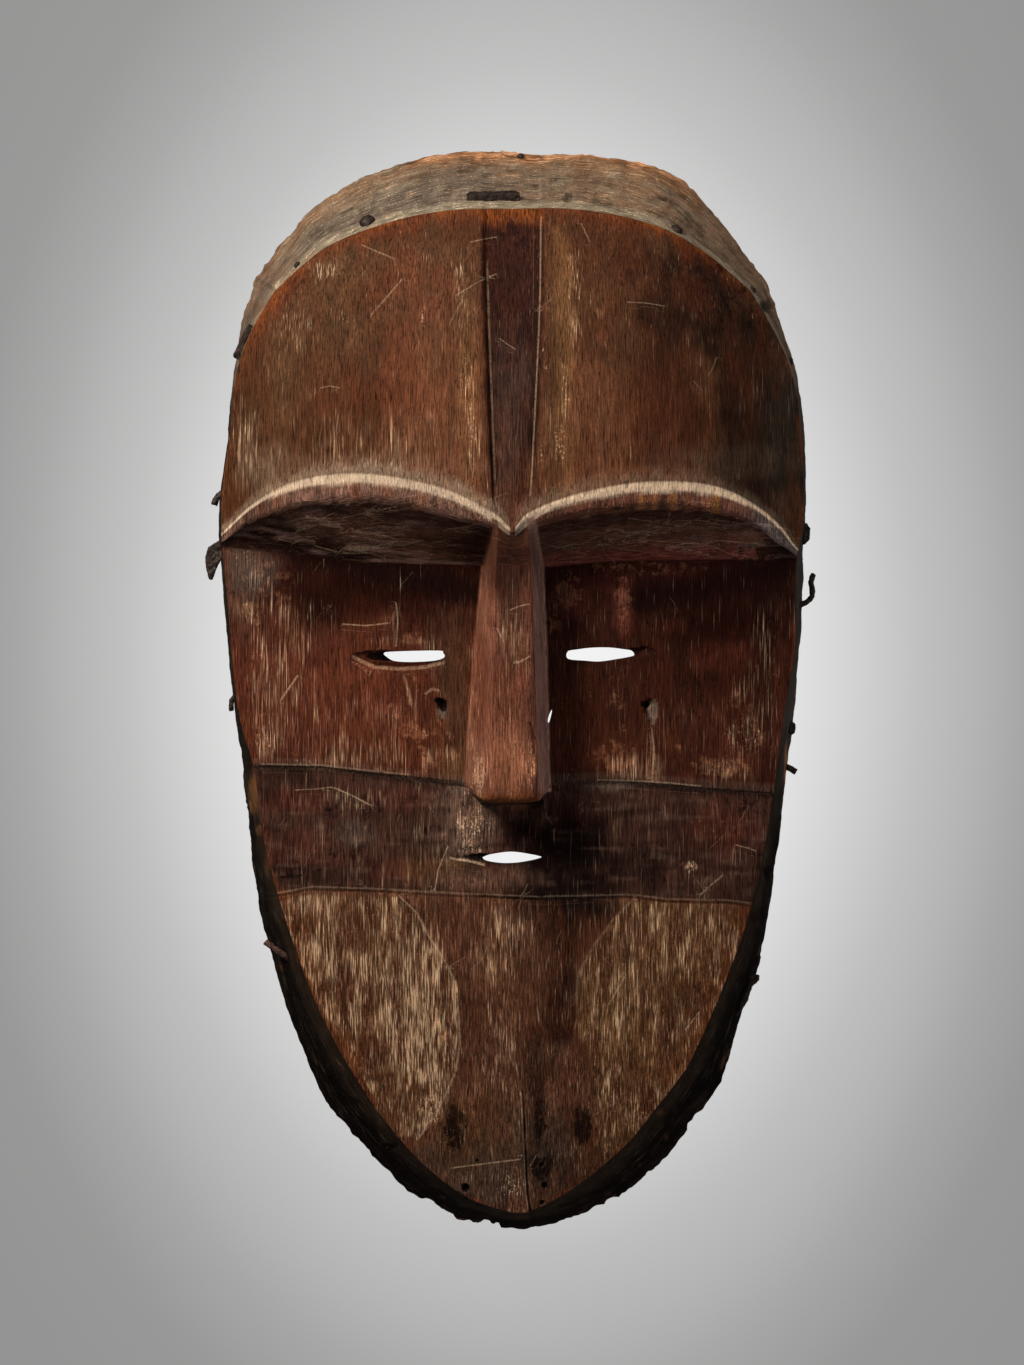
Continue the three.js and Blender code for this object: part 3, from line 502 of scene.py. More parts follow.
# Cuts beside the slits, as lines of pixels: the whole width and the deepest width in pixels, both
# measured from the line, and the depth in millimetres
SLIT_CUTS = [
    ([(356, 660), (372, 666.6), (392, 668.4), (418, 667.6), (438, 662.6)], 6.4, 1.2, 1.1),
    ([(452, 861), (480, 865.4), (505, 867), (528, 864.6)], 5, 1, 0.7),
    ([(462, 852.6), (486, 848.6), (512, 847.4)], 6, 1, 0.8),
]
NOSE_CRACK = [(530, 722), (534, 738), (533, 755)]


def hit(px, py, at, radius):
    """1 in the middle of a round spot of pixels, falling softly to 0 at its edge."""
    return smooth(radius, radius * 0.35, np.hypot(px - at[0], py - at[1]))


def front_relief(points, stretch, places):
    """How far each point of the front stands proud of the plain form, in millimetres."""
    px, py = pixels_of(points)
    forehead = stretch < AT_LEDGE
    underbrow = (stretch >= AT_LEDGE_FOOT) & (stretch < AT_FACE) & (np.abs(places) > OUTER_LINE)
    nose = (np.abs(places) <= OUTER_LINE) & (stretch >= AT_LEDGE) & (stretch < AT_NOSE_FOOT)
    lower = stretch >= AT_LOWER
    relief = 0.3 * noise(points, (24, 34, 30), 1) + 0.12 * noise(points, (7, 16, 12), 2)
    relief += np.where(forehead | lower, 0.07, 0.05) * noise(points, (1.7, 22, 3), 3)
    relief += np.where(underbrow, 0.42 * noise(points, (17, 3, 3), 4), 0)
    relief += np.where(underbrow, 0.2 * noise(points, (7, 2, 2), 5), 0)
    relief += np.where(nose, 0.12 * noise(points, (3, 9, 9), 6), 0)
    relief[lower] += 0.1 * noise(points[lower], (1.9, 11, 3), 8)
    crack, along = off_line(px, py, CHIN_CRACK)
    opened = smooth(0, 0.3, along) * smooth(2.6, 0.5, crack)
    relief -= 1.1 * opened
    crack_x, crack_y = np.array(CHIN_CRACK).T
    left_of_crack = px < np.interp(py, crack_y, crack_x)
    relief += 0.7 * smooth(9, 1, crack) * smooth(0.05, 0.35, along) * left_of_crack
    for x, y, radius in CHIN_HOLES:
        relief -= 1.9 * hit(px, py, (x, y), radius)
        ring = np.abs(np.hypot(px - x, py - y) - radius * 1.35)
        relief += 0.25 * smooth(2, 0, ring)
    pit_depth = np.where(inside(px, py, LEFT_PIT), off_line(px, py, LEFT_PIT + LEFT_PIT[:1])[0], 0)
    relief -= 2.6 * smooth(0, 4, pit_depth)
    relief -= 1.2 * smooth(4, 0, off_line(px, py, [(438, 708), (444, 716)])[0])
    relief -= 3.4 * hit(px, py, RIGHT_PIT, 4.4)
    relief -= 1.3 * inside(px, py, RIGHT_PIT_WEDGE)
    for line in (BAND_FOOT_LEFT, BAND_FOOT_RIGHT):
        relief -= 0.45 * stroke(px, py, line, 3.4)
    rubbed = smooth(17, 6, np.hypot((px - 511) * 1.15, py - 1184))
    relief += rubbed * 0.35 * noise(points, (2.2, 2.2, 2.2), 9)
    for line, width in DEEP_SCRATCHES:
        relief -= 0.22 * stroke(px, py, line, width)
    relief -= 0.8 * stroke(px, py, NOSE_CRACK, 4.6)
    for line, whole, deepest, depth in SLIT_CUTS:
        cut = smooth(whole, deepest, off_line(px, py, line)[0])
        relief -= depth * cut * ~inside(px, py, LEFT_EYE)
    for x, y, wide, tall in WALL_PITS:
        relief -= 0.8 * smooth(1, 0.3, np.hypot((px - x) / wide, (py - y) / tall))
    return relief


# Scratches and dents in the wood, as lines of pixels with a width in pixels

DEEP_SCRATCHES = [
    ([(362, 245), (378, 252), (395, 259)], 3.2), ([(370, 316), (386, 298), (403, 278)], 3),
    ([(581, 223), (590, 242)], 3), ([(510, 610), (520, 606), (529, 604)], 2.4),
    ([(497, 628), (500, 634), (503, 641)], 2.4), ([(513, 663), (522, 661), (530, 656)], 3),
    ([(280, 701), (298, 675)], 3.6), ([(341, 624), (366, 625.6), (389, 623)], 2.6),
    ([(335, 788), (353, 796), (372, 806)], 2.8), ([(448, 846), (438, 870), (434, 895)], 2.6),
    ([(625, 977), (617, 990), (608, 1006)], 2.8), ([(701, 1010), (693, 1020), (685, 1030)], 2.8),
    ([(451, 1168), (490, 1163), (522, 1159)], 2.6), ([(530, 1166), (537, 1154)], 2.4),
    ([(723, 875), (711, 885), (700, 895)], 2.8),
]
FINE_SCRATCHES = [
    ([(471, 242), (484, 239), (497, 237)], 2.4), ([(499, 338), (507, 344), (515, 349)], 2.2),
    ([(320, 388), (330, 386), (340, 388)], 2), ([(396, 603), (398, 622), (396, 646)], 3.4),
    ([(295, 790), (316, 789), (334, 787)], 2), ([(627, 302), (646, 303), (664, 306)], 2),
    ([(652, 728), (654, 750), (652, 781)], 3.4), ([(736, 845), (748, 848), (756, 851)], 2.6),
    ([(486, 500), (483, 512), (478, 520)], 2), ([(455, 296), (478, 282), (496, 274)], 2),
]


# Making pieces


def deselect():
    if bpy.context.object and bpy.context.object.mode == "EDIT":
        bpy.ops.object.mode_set(mode="OBJECT")
    bpy.ops.object.select_all(action="DESELECT")


def take_up(piece):
    """Makes a piece the only one selected, and the active one."""
    deselect()
    piece.select_set(True)
    bpy.context.view_layer.objects.active = piece


def points_of(piece):
    """The vertices of a piece as an array, in millimetres."""
    co = np.empty(len(piece.data.vertices) * 3, np.float32)
    piece.data.vertices.foreach_get("co", co)
    return co.reshape(-1, 3).astype(float) / MM


def move_points(piece, points):
    piece.data.vertices.foreach_set("co", (points * MM).astype(np.float32).ravel())
    piece.data.update()


def pick(piece, kind, chosen):
    """Selects vertices, edges or faces of a piece by a list of true and false."""
    for part in (piece.data.vertices, piece.data.edges, piece.data.polygons):
        part.foreach_set("select", np.zeros(len(part), bool))
    getattr(piece.data, kind).foreach_set("select", chosen)


def edit(piece, mode):
    take_up(piece)
    bpy.ops.object.mode_set(mode="EDIT")
    bpy.ops.mesh.select_mode(type=mode)


def grid_piece(name, sheet):
    """A grid laid on the points of a sheet, given row by row from the crown to the chin."""
    rows, columns = sheet.shape[:2]
    deselect()
    bpy.ops.mesh.primitive_grid_add(x_subdivisions=columns - 1, y_subdivisions=rows - 1, size=MM)
    piece = bpy.context.object
    piece.name = piece.data.name = name
    move_points(piece, sheet[::-1].reshape(-1, 3))
    return piece


def wall_down(piece, sheet, lean_at, bottom, rings, relief=None):
    """Closes a sheet below by walls that lean out from its border to a flat face at the bottom.

    Returns each vertex's place down the wall, from 0 at the top, and its run round the border.
    """
    border = border_of(sheet)
    loop = sheet[border[:, 0], border[:, 1]]
    out, run = outward_of(loop)
    shared = np.zeros(len(piece.data.edges), int)
    used = np.empty(len(piece.data.loops), np.int32)
    piece.data.loops.foreach_get("edge_index", used)
    np.add.at(shared, used, 1)
    pick(piece, "edges", shared == 1)
    edit(piece, "EDGE")
    bpy.ops.mesh.extrude_edges_move()
    bpy.ops.transform.resize(value=(1, 1, 0), center_override=(0, 0, bottom * MM))
    bpy.ops.mesh.edge_face_add()
    bpy.ops.object.mode_set(mode="OBJECT")
    above = len(sheet.reshape(-1, 3))
    ends = np.array([edge.vertices[:] for edge in piece.data.edges])
    upright = (ends.min(axis=1) < above) & (ends.max(axis=1) >= above)
    pick(piece, "edges", upright)
    edit(piece, "EDGE")
    bpy.ops.mesh.subdivide(number_cuts=rings - 1)
    bpy.ops.object.mode_set(mode="OBJECT")
    tree = kdtree.KDTree(len(loop))
    for i, point in enumerate(loop):
        tree.insert((point[0], point[1], 0), i)
    tree.balance()
    points = points_of(piece)
    low = np.arange(above, len(points))
    at = np.array([tree.find((x, y, 0))[1] for x, y in points[low, :2]])
    down = smooth(0, 1, (loop[at, 2] - points[low, 2]) / (loop[at, 2] - bottom))
    lean = lean_at(loop)[at] * down + WALL_BULGE * arch(down)
    points[low] = loop[at] + out[at] * lean[:, None]
    points[low, 2] = mix(loop[at, 2], bottom, down)
    if relief:
        points[low] += out[at] * relief(points[low], run[at], down)[:, None]
    move_points(piece, points)
    return down, run[at]


def closed_loop(outline, steps=4):
    """A smooth closed curve through the points of an outline."""
    points = np.array(outline, float)
    before, after, beyond = (np.roll(points, shift, axis=0) for shift in (1, -1, -2))
    curve = []
    for f in np.arange(steps) / steps:
        curve.append(0.5 * (2 * points + (after - before) * f
                            + (2 * before - 5 * points + 4 * after - beyond) * f ** 2
                            + (3 * points - before - 3 * after + beyond) * f ** 3))
    return np.stack(curve, axis=1).reshape(-1, 2)


def prism_of(outline):
    """An upright cutter through the face, from an outline in the photograph's pixels."""
    rim = closed_loop(outline)
    x, y = place_of(rim.T, FACE_HEIGHT)
    deselect()
    bpy.ops.mesh.primitive_circle_add(vertices=len(rim), fill_type="NGON", radius=MM)
    piece = bpy.context.object
    move_points(piece, np.stack([x, y, np.full(len(rim), float(OPENING_BOTTOM))], axis=1))
    edit(piece, "FACE")
    bpy.ops.mesh.select_all(action="SELECT")
    bpy.ops.mesh.extrude_region_move(
        TRANSFORM_OT_translate={"value": (0, 0, (OPENING_TOP - OPENING_BOTTOM) * MM)})
    bpy.ops.mesh.select_all(action="SELECT")
    bpy.ops.mesh.normals_make_consistent(inside=False)
    bpy.ops.object.mode_set(mode="OBJECT")
    return piece


def carve(piece, cutter):
    """Cuts one closed piece out of another."""
    take_up(piece)
    cut = piece.modifiers.new("cut", "BOOLEAN")
    cut.operation = "DIFFERENCE"
    cut.solver = "EXACT"
    cut.object = cutter
    bpy.ops.object.modifier_apply(modifier=cut.name)
    bpy.data.objects.remove(cutter)


# Colours of the mask, laid on its points one over another. Some of them are painted light and
# shade: the dark of the face below the brow and on its right, of the forehead's right side, of the
# underbrow just below the ledge, of the top of the nose and beside the keel is painted shade; the
# lighter right of the underbrow and the left facet of the nose are painted as lit, the pale grey of
# the nose's right facet is a painted sheen, the cream of the ledge crest is worn wood with a painted
# highlight, and the pale lip of the band's groove is a painted highlight.

OLD_WOOD = {
    "forehead": "#563320", "forehead gold": "#865c37", "forehead light": "#7f5038",
    "forehead olive": "#58422c", "forehead red": "#5c301c", "forehead right shade": "#2a1a12",
    "forehead edge shade": "#332a22", "strip": "#331a14", "strip light": "#64402f", "strip grey": "#49362f",
    "worn orange": "#86481f", "worn red": "#70351c", "ledge crest wear and highlight": "#e6cdb0", "ledge crest wear and highlight right": "#ffdfbc",
    "ledge patina": "#8a7460", "ledge front": "#8a6657", "ledge grey": "#6a6260", "underbrow": "#52362a",
    "underbrow red": "#824a3c", "underbrow light": "#785c52", "underbrow right lit": "#6f4738",
    "underbrow shade": "#1c0f0b", "low wall brown": "#3a2b20", "face": "#552b1d", "face right shade": "#3a1c12",
    "face mauve": "#7a4036", "brow shadow": "#150402", "face red": "#6a3726", "face olive": "#40291e",
    "face shade": "#240803", "nose": "#6f4536", "nose red": "#7c4631", "nose left reddish lit": "#97644f",
    "nose low": "#976147", "nose right sheen": "#be907e", "nose brow shadow": "#27120c", "band": "#462c23",
    "band grey": "#6a5145", "band black": "#221812", "band red": "#5a2e22", "lower": "#623f2d",
    "lower red": "#54301f", "cheek": "#674629", "cheek pale": "#6b4830", "cheek left": "#62412a",
    "cheek rust": "#6b3b1f", "keel shade": "#23130d", "chin": "#4b3a30", "chin dark": "#221a14",
    "pale grey and groove highlight": "#8d7a6a", "grey": "#6c655c", "shadow": "#0f0604", "nose shadow": "#1c120e",
    "crown wall": "#786a5c", "crown brown": "#a67d59", "crown fibre": "#9a5a2a", "crown pale": "#a3967f",
    "crown pink": "#865b42", "side wall": "#2b231d", "side wall grey": "#544a41", "low wall": "#0d0906",
    "low wall grey": "#3a322b", "chip": "#a8703e", "inside": "#4a3a2c", "inside dark": "#2c221a",
}


def linear(colour):
    """An sRGB hex colour as linear red, green and blue."""
    value = np.array([int(colour[i:i + 2], 16) for i in (1, 3, 5)]) / 255
    return np.where(value <= 0.04045, value / 12.92, ((value + 0.055) / 1.055) ** 2.4)


def spot(px, py, x, y, wide, tall, ragged):
    """1 within an upright oval of pixels, falling off over a ragged edge."""
    return smooth(1.25, 0.45, np.hypot((px - x) / wide, (py - y) / tall) + 0.3 * ragged)


# Marks on the face: middle, half width and half height in pixels, colour and strength. Many are
# painted shade and shadow: the dark marks below the brow, on the right of the forehead and the face,
# at the top of the nose, under the nose and beside the keel. The pale marks on the groove's lip are
# painted highlight.
STAINS = [
    (345, 290, 60, 70, "forehead olive", 0.5), (268, 420, 40, 120, "forehead olive", 0.45),
    (420, 400, 60, 110, "forehead red", 0.6), (640, 420, 70, 90, "forehead red", 0.55),
    (590, 330, 40, 110, "forehead", 0.5), (400, 255, 70, 18, "forehead olive", 0.4),
    (690, 300, 60, 60, "forehead right shade", 0.6), (750, 420, 46, 150, "forehead right shade", 0.85),
    (785, 430, 26, 120, "forehead edge shade", 0.9), (510, 440, 14, 56, "strip light", 0.55),
    (240, 590, 20, 60, "ledge patina", 0.2), (330, 600, 60, 50, "face olive", 0.25),
    (450, 620, 30, 70, "face olive", 0.7), (455, 700, 14, 90, "face olive", 0.9),
    (380, 590, 70, 26, "face shade", 0.7), (260, 690, 60, 60, "face red", 0.55),
    (350, 700, 70, 60, "face red", 0.8), (400, 680, 22, 14, "worn red", 0.25),
    (720, 640, 60, 60, "face shade", 0.8), (690, 600, 90, 26, "shadow", 0.35),
    (660, 680, 30, 40, "face", 0.35), (720, 715, 40, 40, "face red", 0.15),
    (570, 700, 14, 100, "shadow", 0.3), (600, 760, 50, 16, "face", 0.6),
    (735, 760, 30, 18, "face red", 0.35), (700, 778, 40, 8, "face red", 0.2),
    (778, 700, 8, 60, "face red", 0.3), (725, 300, 74, 70, "forehead right shade", 0.85),
    (700, 270, 60, 40, "forehead right shade", 0.7), (790, 380, 24, 90, "forehead edge shade", 0.8),
    (560, 440, 26, 40, "cheek pale", 0.45), (440, 408, 52, 84, "cheek rust", 0.45),
    (592, 420, 42, 84, "cheek pale", 0.4), (560, 900, 56, 36, "shadow", 0.85),
    (455, 765, 18, 16, "cheek pale", 0.6), (470, 880, 60, 16, "cheek pale", 0.35),
    (300, 800, 40, 12, "band red", 0.7), (400, 800, 40, 12, "band red", 0.5),
    (300, 850, 40, 20, "band red", 0.4), (400, 870, 40, 14, "band red", 0.5),
    (354, 832, 20, 14, "grey", 0.22), (300, 876, 60, 10, "band black", 0.5),
    (720, 830, 40, 30, "band red", 0.7), (562, 846, 48, 42, "shadow", 0.8),
    (620, 880, 60, 12, "shadow", 0.4), (640, 860, 40, 16, "band black", 0.6),
    (500, 820, 30, 20, "shadow", 0.4), (480, 880, 60, 12, "lower", 0.5), (500, 950, 40, 40, "lower", 0.5),
    (470, 1030, 24, 60, "lower red", 0.4), (560, 975, 22, 95, "keel shade", 0.95),
    (534, 1075, 12, 60, "keel shade", 0.6), (560, 1010, 10, 30, "keel shade", 0.5),
    (583, 1126, 11, 24, "chin dark", 0.95), (456, 1128, 16, 26, "chin dark", 0.6),
    (545, 1160, 18, 34, "chin dark", 0.6), (420, 1160, 26, 20, "chin", 0.7),
    (480, 1180, 40, 40, "chin", 0.8), (572, 1160, 34, 44, "keel shade", 0.7),
    (348, 1020, 16, 40, "cheek rust", 0.6), (395, 1075, 20, 34, "lower red", 0.6),
    (340, 960, 14, 60, "lower red", 0.5), (700, 1050, 20, 50, "cheek rust", 0.4),
    (640, 1120, 34, 22, "cheek", 0.5), (607, 1040, 12, 40, "worn red", 0.25),
    (512, 700, 18, 90, "nose red", 0.5), (465, 832, 28, 42, "band grey", 0.9),
    (565, 350, 11, 130, "cheek pale", 0.55), (468, 380, 14, 100, "cheek pale", 0.4),
    (512, 566, 24, 48, "nose brow shadow", 0.6), (512, 762, 26, 44, "nose low", 0.85),
    (335, 585, 95, 32, "face shade", 0.85), (420, 600, 60, 24, "face shade", 0.5),
    (507, 512, 22, 40, "strip light", 0.9), (270, 470, 40, 26, "ledge patina", 0.35),
    (720, 462, 90, 18, "ledge patina", 0.15), (380, 440, 90, 34, "forehead olive", 0.5),
    (400, 300, 50, 50, "forehead red", 0.6), (640, 300, 50, 50, "forehead red", 0.5),
    (330, 600, 50, 30, "face shade", 0.3), (455, 765, 20, 22, "cheek pale", 0.5),
    (570, 905, 50, 34, "shadow", 0.7), (520, 975, 30, 40, "cheek", 0.5), (480, 1130, 40, 40, "cheek", 0.5),
    (610, 1130, 40, 40, "cheek", 0.5), (440, 870, 50, 14, "cheek", 0.5),
    (529, 480, 7, 44, "strip light", 0.8), (455, 690, 16, 95, "cheek pale", 0.35),
    (320, 590, 80, 36, "face shade", 0.5), (772, 640, 18, 90, "shadow", 0.25),
    (690, 640, 90, 60, "face shade", 0.3), (700, 300, 96, 110, "forehead right shade", 0.3),
    (246, 430, 16, 120, "shadow", 0.15), (380, 466, 110, 14, "ledge patina", 0.3),
    (700, 280, 70, 40, "forehead red", 0.3), (578, 588, 30, 30, "underbrow red", 0.7),
    (590, 575, 50, 20, "underbrow light", 0.4), (563, 690, 8, 90, "face red", 0.3),
    (468, 400, 12, 110, "forehead gold", 0.6), (564, 350, 12, 140, "forehead gold", 0.65),
    (430, 345, 50, 90, "forehead light", 0.35), (345, 430, 64, 60, "forehead red", 0.4),
    (440, 450, 60, 60, "forehead light", 0.5), (592, 430, 50, 80, "forehead light", 0.3),
    (775, 545, 20, 30, "underbrow shade", 0.8), (262, 530, 46, 12, "underbrow shade", 0.8),
    (640, 560, 110, 10, "underbrow red", 0.9), (770, 575, 26, 30, "shadow", 0.5),
    (640, 570, 108, 9, "face mauve", 0.9), (570, 595, 22, 26, "face mauve", 0.6),
    (720, 655, 42, 24, "face red", 0.35), (605, 786, 30, 5, "pale grey and groove highlight", 0.5),
    (458, 788, 14, 8, "pale grey and groove highlight", 0.4), (570, 825, 24, 22, "band red", 0.5),
    (695, 285, 66, 56, "forehead right shade", 0.55), (690, 410, 20, 50, "forehead right shade", 0.25),
    (512, 400, 20, 90, "strip grey", 0.6), (530, 960, 26, 60, "chin", 0.4),
    (530, 1150, 56, 50, "chin", 0.5), (575, 1090, 14, 50, "lower red", 0.5),
    (530, 890, 40, 20, "shadow", 0.35), (570, 846, 50, 34, "shadow", 0.8), (256, 566, 30, 34, "grey", 0.3),
    (465, 805, 40, 18, "band grey", 0.45), (715, 290, 70, 70, "forehead right shade", 0.8),
    (250, 400, 26, 90, "forehead red", 0.35), (690, 620, 90, 24, "brow shadow", 0.45),
    (566, 850, 56, 32, "brow shadow", 0.4), (487, 690, 5, 60, "keel shade", 0.5),
    (700, 622, 84, 26, "face shade", 0.7), (762, 590, 30, 26, "shadow", 0.5),
    (565, 585, 20, 24, "face mauve", 0.7), (622, 596, 14, 36, "face mauve", 0.75),
    (640, 562, 95, 8, "face mauve", 0.8), (600, 580, 50, 14, "face mauve", 0.5),
    (480, 880, 60, 12, "band grey", 0.5),
]

# Places where the wood is rubbed pale: middle, half width and half height, share along the
# grain in fibres and share in flecks
RUBS = [
    (320, 268, 22, 14, 0.3, 0.2), (347, 319, 9, 10, 0.2, 0.5), (424, 320, 7, 16, 0.1, 0.55),
    (300, 330, 26, 30, 0.22, 0.1), (466, 380, 9, 46, 0.35, 0.5), (472, 440, 8, 50, 0.4, 0.55),
    (460, 300, 9, 60, 0.28, 0.22), (565, 390, 8, 40, 0.35, 0.55), (560, 445, 8, 36, 0.3, 0.6),
    (574, 300, 9, 70, 0.3, 0.25), (545, 355, 5, 26, 0, 0.5), (541, 455, 5, 22, 0, 0.45),
    (400, 440, 60, 40, 0.2, 0.1), (330, 440, 60, 40, 0.2, 0.1), (246, 440, 16, 60, 0.4, 0.2),
    (249, 560, 18, 20, 0.5, 0.45), (252, 614, 17, 17, 0.42, 0.5), (286, 610, 12, 16, 0.36, 0.42),
    (270, 585, 34, 50, 0.36, 0.2), (300, 600, 30, 60, 0.3, 0.15), (255, 655, 10, 10, 0.2, 0.5),
    (332, 611, 9, 10, 0.2, 0.4), (262, 566, 34, 34, 0.5, 0.2), (396, 620, 6, 26, 0.4, 0.35),
    (400, 640, 40, 8, 0.3, 0.35), (430, 640, 14, 12, 0.2, 0.3), (412, 690, 12, 20, 0.25, 0.4),
    (395, 711, 11, 8, 0.2, 0.5), (411, 730, 9, 9, 0.1, 0.5), (422, 735, 16, 14, 0.1, 0.45),
    (440, 760, 20, 22, 0.35, 0.4), (350, 752, 60, 22, 0.36, 0.12), (270, 740, 20, 22, 0.4, 0.5),
    (300, 763, 20, 8, 0.2, 0.5), (280, 700, 40, 60, 0.3, 0.1), (760, 690, 18, 80, 0.26, 0.3),
    (748, 735, 26, 30, 0.3, 0.5), (722, 770, 34, 14, 0.4, 0.5), (740, 690, 10, 20, 0.3, 0.45),
    (652, 752, 5, 30, 0.3, 0.4), (640, 765, 50, 18, 0.35, 0.25), (480, 772, 11, 30, 0.3, 0.72),
    (475, 700, 8, 80, 0.25, 0.3), (512, 720, 18, 70, 0.2, 0.2), (512, 640, 18, 40, 0.3, 0.2),
    (531, 765, 5, 34, 0.2, 0.6), (470, 800, 14, 16, 0.2, 0.5), (472, 832, 24, 34, 0.3, 0.62),
    (470, 850, 24, 6, 0.2, 0.6), (350, 800, 60, 12, 0.3, 0.2), (330, 850, 70, 34, 0.14, 0.08),
    (430, 850, 40, 40, 0.22, 0.12), (692, 867, 13, 8, 0.2, 0.7), (740, 855, 14, 12, 0.3, 0.35),
    (690, 830, 60, 40, 0.14, 0.12), (500, 940, 40, 50, 0.34, 0.3), (500, 1040, 30, 80, 0.3, 0.2),
    (430, 1110, 16, 20, 0.3, 0.7), (440, 1080, 14, 40, 0.5, 0.42), (510, 1184, 18, 18, 0, 0.6),
    (450, 1140, 12, 20, 0.1, 0.4), (610, 1150, 20, 16, 0.2, 0.45), (640, 1118, 20, 20, 0.3, 0.5),
    (612, 1100, 12, 26, 0.4, 0.5), (350, 728, 95, 40, 0.22, 0.06), (283, 625, 50, 70, 0.3, 0.1),
    (690, 738, 88, 38, 0.1, 0.1), (415, 1000, 42, 100, 0.55, 0.42),
]

# Outlines of the pale cheeks, ovals in them where the fibres are worn away, and the cheeks' rims
LEFT_CHEEK = [(276, 900), (316, 893), (399.5, 896), (417, 913.5), (428, 935), (445, 961), (456, 983),
              (459, 1022), (460, 1043), (456, 1070), (444, 1099), (430, 1123), (417.5, 1140),
              (395, 1135), (360, 1075), (320, 1010), (290, 940)]
RIGHT_CHEEK = [(634, 898.5), (750, 907), (744, 945), (722, 1005), (694, 1065), (650, 1120),
               (603, 1145), (596, 1100), (590, 1067), (584, 1046), (572, 1028), (576, 997),
               (578, 974), (594, 945), (614, 918.6)]
CHEEK_GAPS = [
    (366, 1052, 20, 28), (350, 1062, 24, 22), (345, 985, 12, 22), (302, 934, 10, 20), (352, 930, 14, 20),
    (640, 930, 14, 20), (700, 1010, 14, 30),
]
LEFT_CHEEK_RIM = LEFT_CHEEK[2:13]
RIGHT_CHEEK_RIM = [(634, 898.5), (614, 918.6), (594, 945), (578, 974), (576, 997)]

# The groove over the band, the shaded tails of slits as outlines, and the lips of slits
BAND_TOP_LEFT = [(258.5, 766), (321, 767), (373.5, 773.6), (412.5, 777), (460, 782)]
BAND_TOP_RIGHT = [(600.5, 780), (636, 782), (670, 784.6), (703, 788), (736.7, 791), (770, 792.5)]
LEFT_EYE_SHADE = [(364, 656.4), (373, 653), (386, 651.5), (400, 652), (400, 661), (386, 661), (373, 660)]
MOUTH_SHADE = [(460, 856.4), (474, 853.6), (486, 853), (486, 860), (474, 859.4)]
LEFT_EYE_LIP = [(352, 656), (362, 661.5), (375, 667), (400, 669), (425, 667), (445, 662)]
MOUTH_LIP = [(450, 858), (468, 860.6), (484, 864.6)]

# Ragged stains lighter than the face, and smoke stains: middle, half width and height, strength
LIGHT_STAINS = [
    (568, 592, 20, 24, 0.85), (556, 620, 12, 20, 0.7), (624, 600, 13, 34, 0.9), (640, 568, 100, 10, 0.6),
    (607, 682, 14, 10, 0.6), (614, 702, 14, 14, 0.6), (586, 697, 10, 8, 0.5), (620, 732, 14, 12, 0.6),
    (613, 756, 34, 22, 0.7), (652, 762, 8, 26, 0.85), (680, 748, 10, 8, 0.5), (740, 704, 18, 22, 0.65),
    (755, 735, 18, 26, 0.7), (722, 766, 40, 16, 0.8), (400, 908, 36, 30, 0.6), (440, 1030, 14, 40, 0.6),
    (690, 960, 22, 44, 0.55), (770, 660, 10, 60, 0.45), (252, 612, 16, 16, 0.8), (283, 602, 12, 20, 0.65),
    (268, 578, 34, 30, 0.6), (332, 612, 10, 12, 0.6), (394, 620, 6, 28, 0.5), (414, 638, 24, 9, 0.7),
    (412, 690, 13, 24, 0.6), (394, 710, 11, 11, 0.75), (411, 730, 14, 12, 0.8), (438, 745, 28, 36, 0.65),
    (262, 734, 10, 26, 0.7), (300, 756, 12, 8, 0.55), (470, 812, 20, 30, 0.75), (458, 838, 30, 14, 0.7),
    (470, 882, 40, 10, 0.6), (590, 815, 20, 30, 0.5), (722, 826, 44, 26, 0.45), (690, 866, 14, 8, 0.8),
    (560, 795, 14, 8, 0.5), (354, 832, 26, 16, 0.5), (440, 800, 30, 20, 0.5),
]
SMOKE_STAINS = [
    (357, 806, 44, 16, 0.6), (345, 850, 30, 14, 0.6), (428, 829, 26, 14, 0.55), (300, 868, 50, 10, 0.55),
    (640, 850, 60, 12, 0.55), (620, 880, 70, 10, 0.6), (730, 872, 30, 12, 0.5), (745, 805, 34, 20, 0.6),
    (455, 1128, 14, 26, 1), (583, 1124, 11, 24, 1.25), (540, 1120, 9, 34, 1), (542, 1166, 16, 16, 1.1),
    (545, 1160, 18, 30, 0.6), (752, 560, 40, 22, 0.7), (640, 610, 70, 24, 0.5), (700, 700, 40, 30, 0.45),
    (330, 1060, 14, 36, 0.45), (380, 1090, 18, 26, 0.5), (735, 290, 60, 60, 0.6), (655, 320, 30, 30, 0.45),
    (268, 888, 12, 12, 0.5), (512, 240, 20, 24, 0.6),
]

# Painted shadow that the brow casts on the top of the face, as lines of pixels
BROW_SHADOWS = [[(222, 522), (262, 538), (330, 556), (400, 574), (476, 594)],
                [(640, 600), (700, 590), (786, 566)]]

# Chips on the walls that show orange wood: middle, half width and half height
ORANGE_CHIPS = [
    (256, 790, 7, 24), (262, 770, 6, 10), (259, 830, 3, 6), (268, 864, 3, 16), (278, 876, 7, 9),
    (660, 1112, 4, 3), (786, 770, 2.2, 30),
]

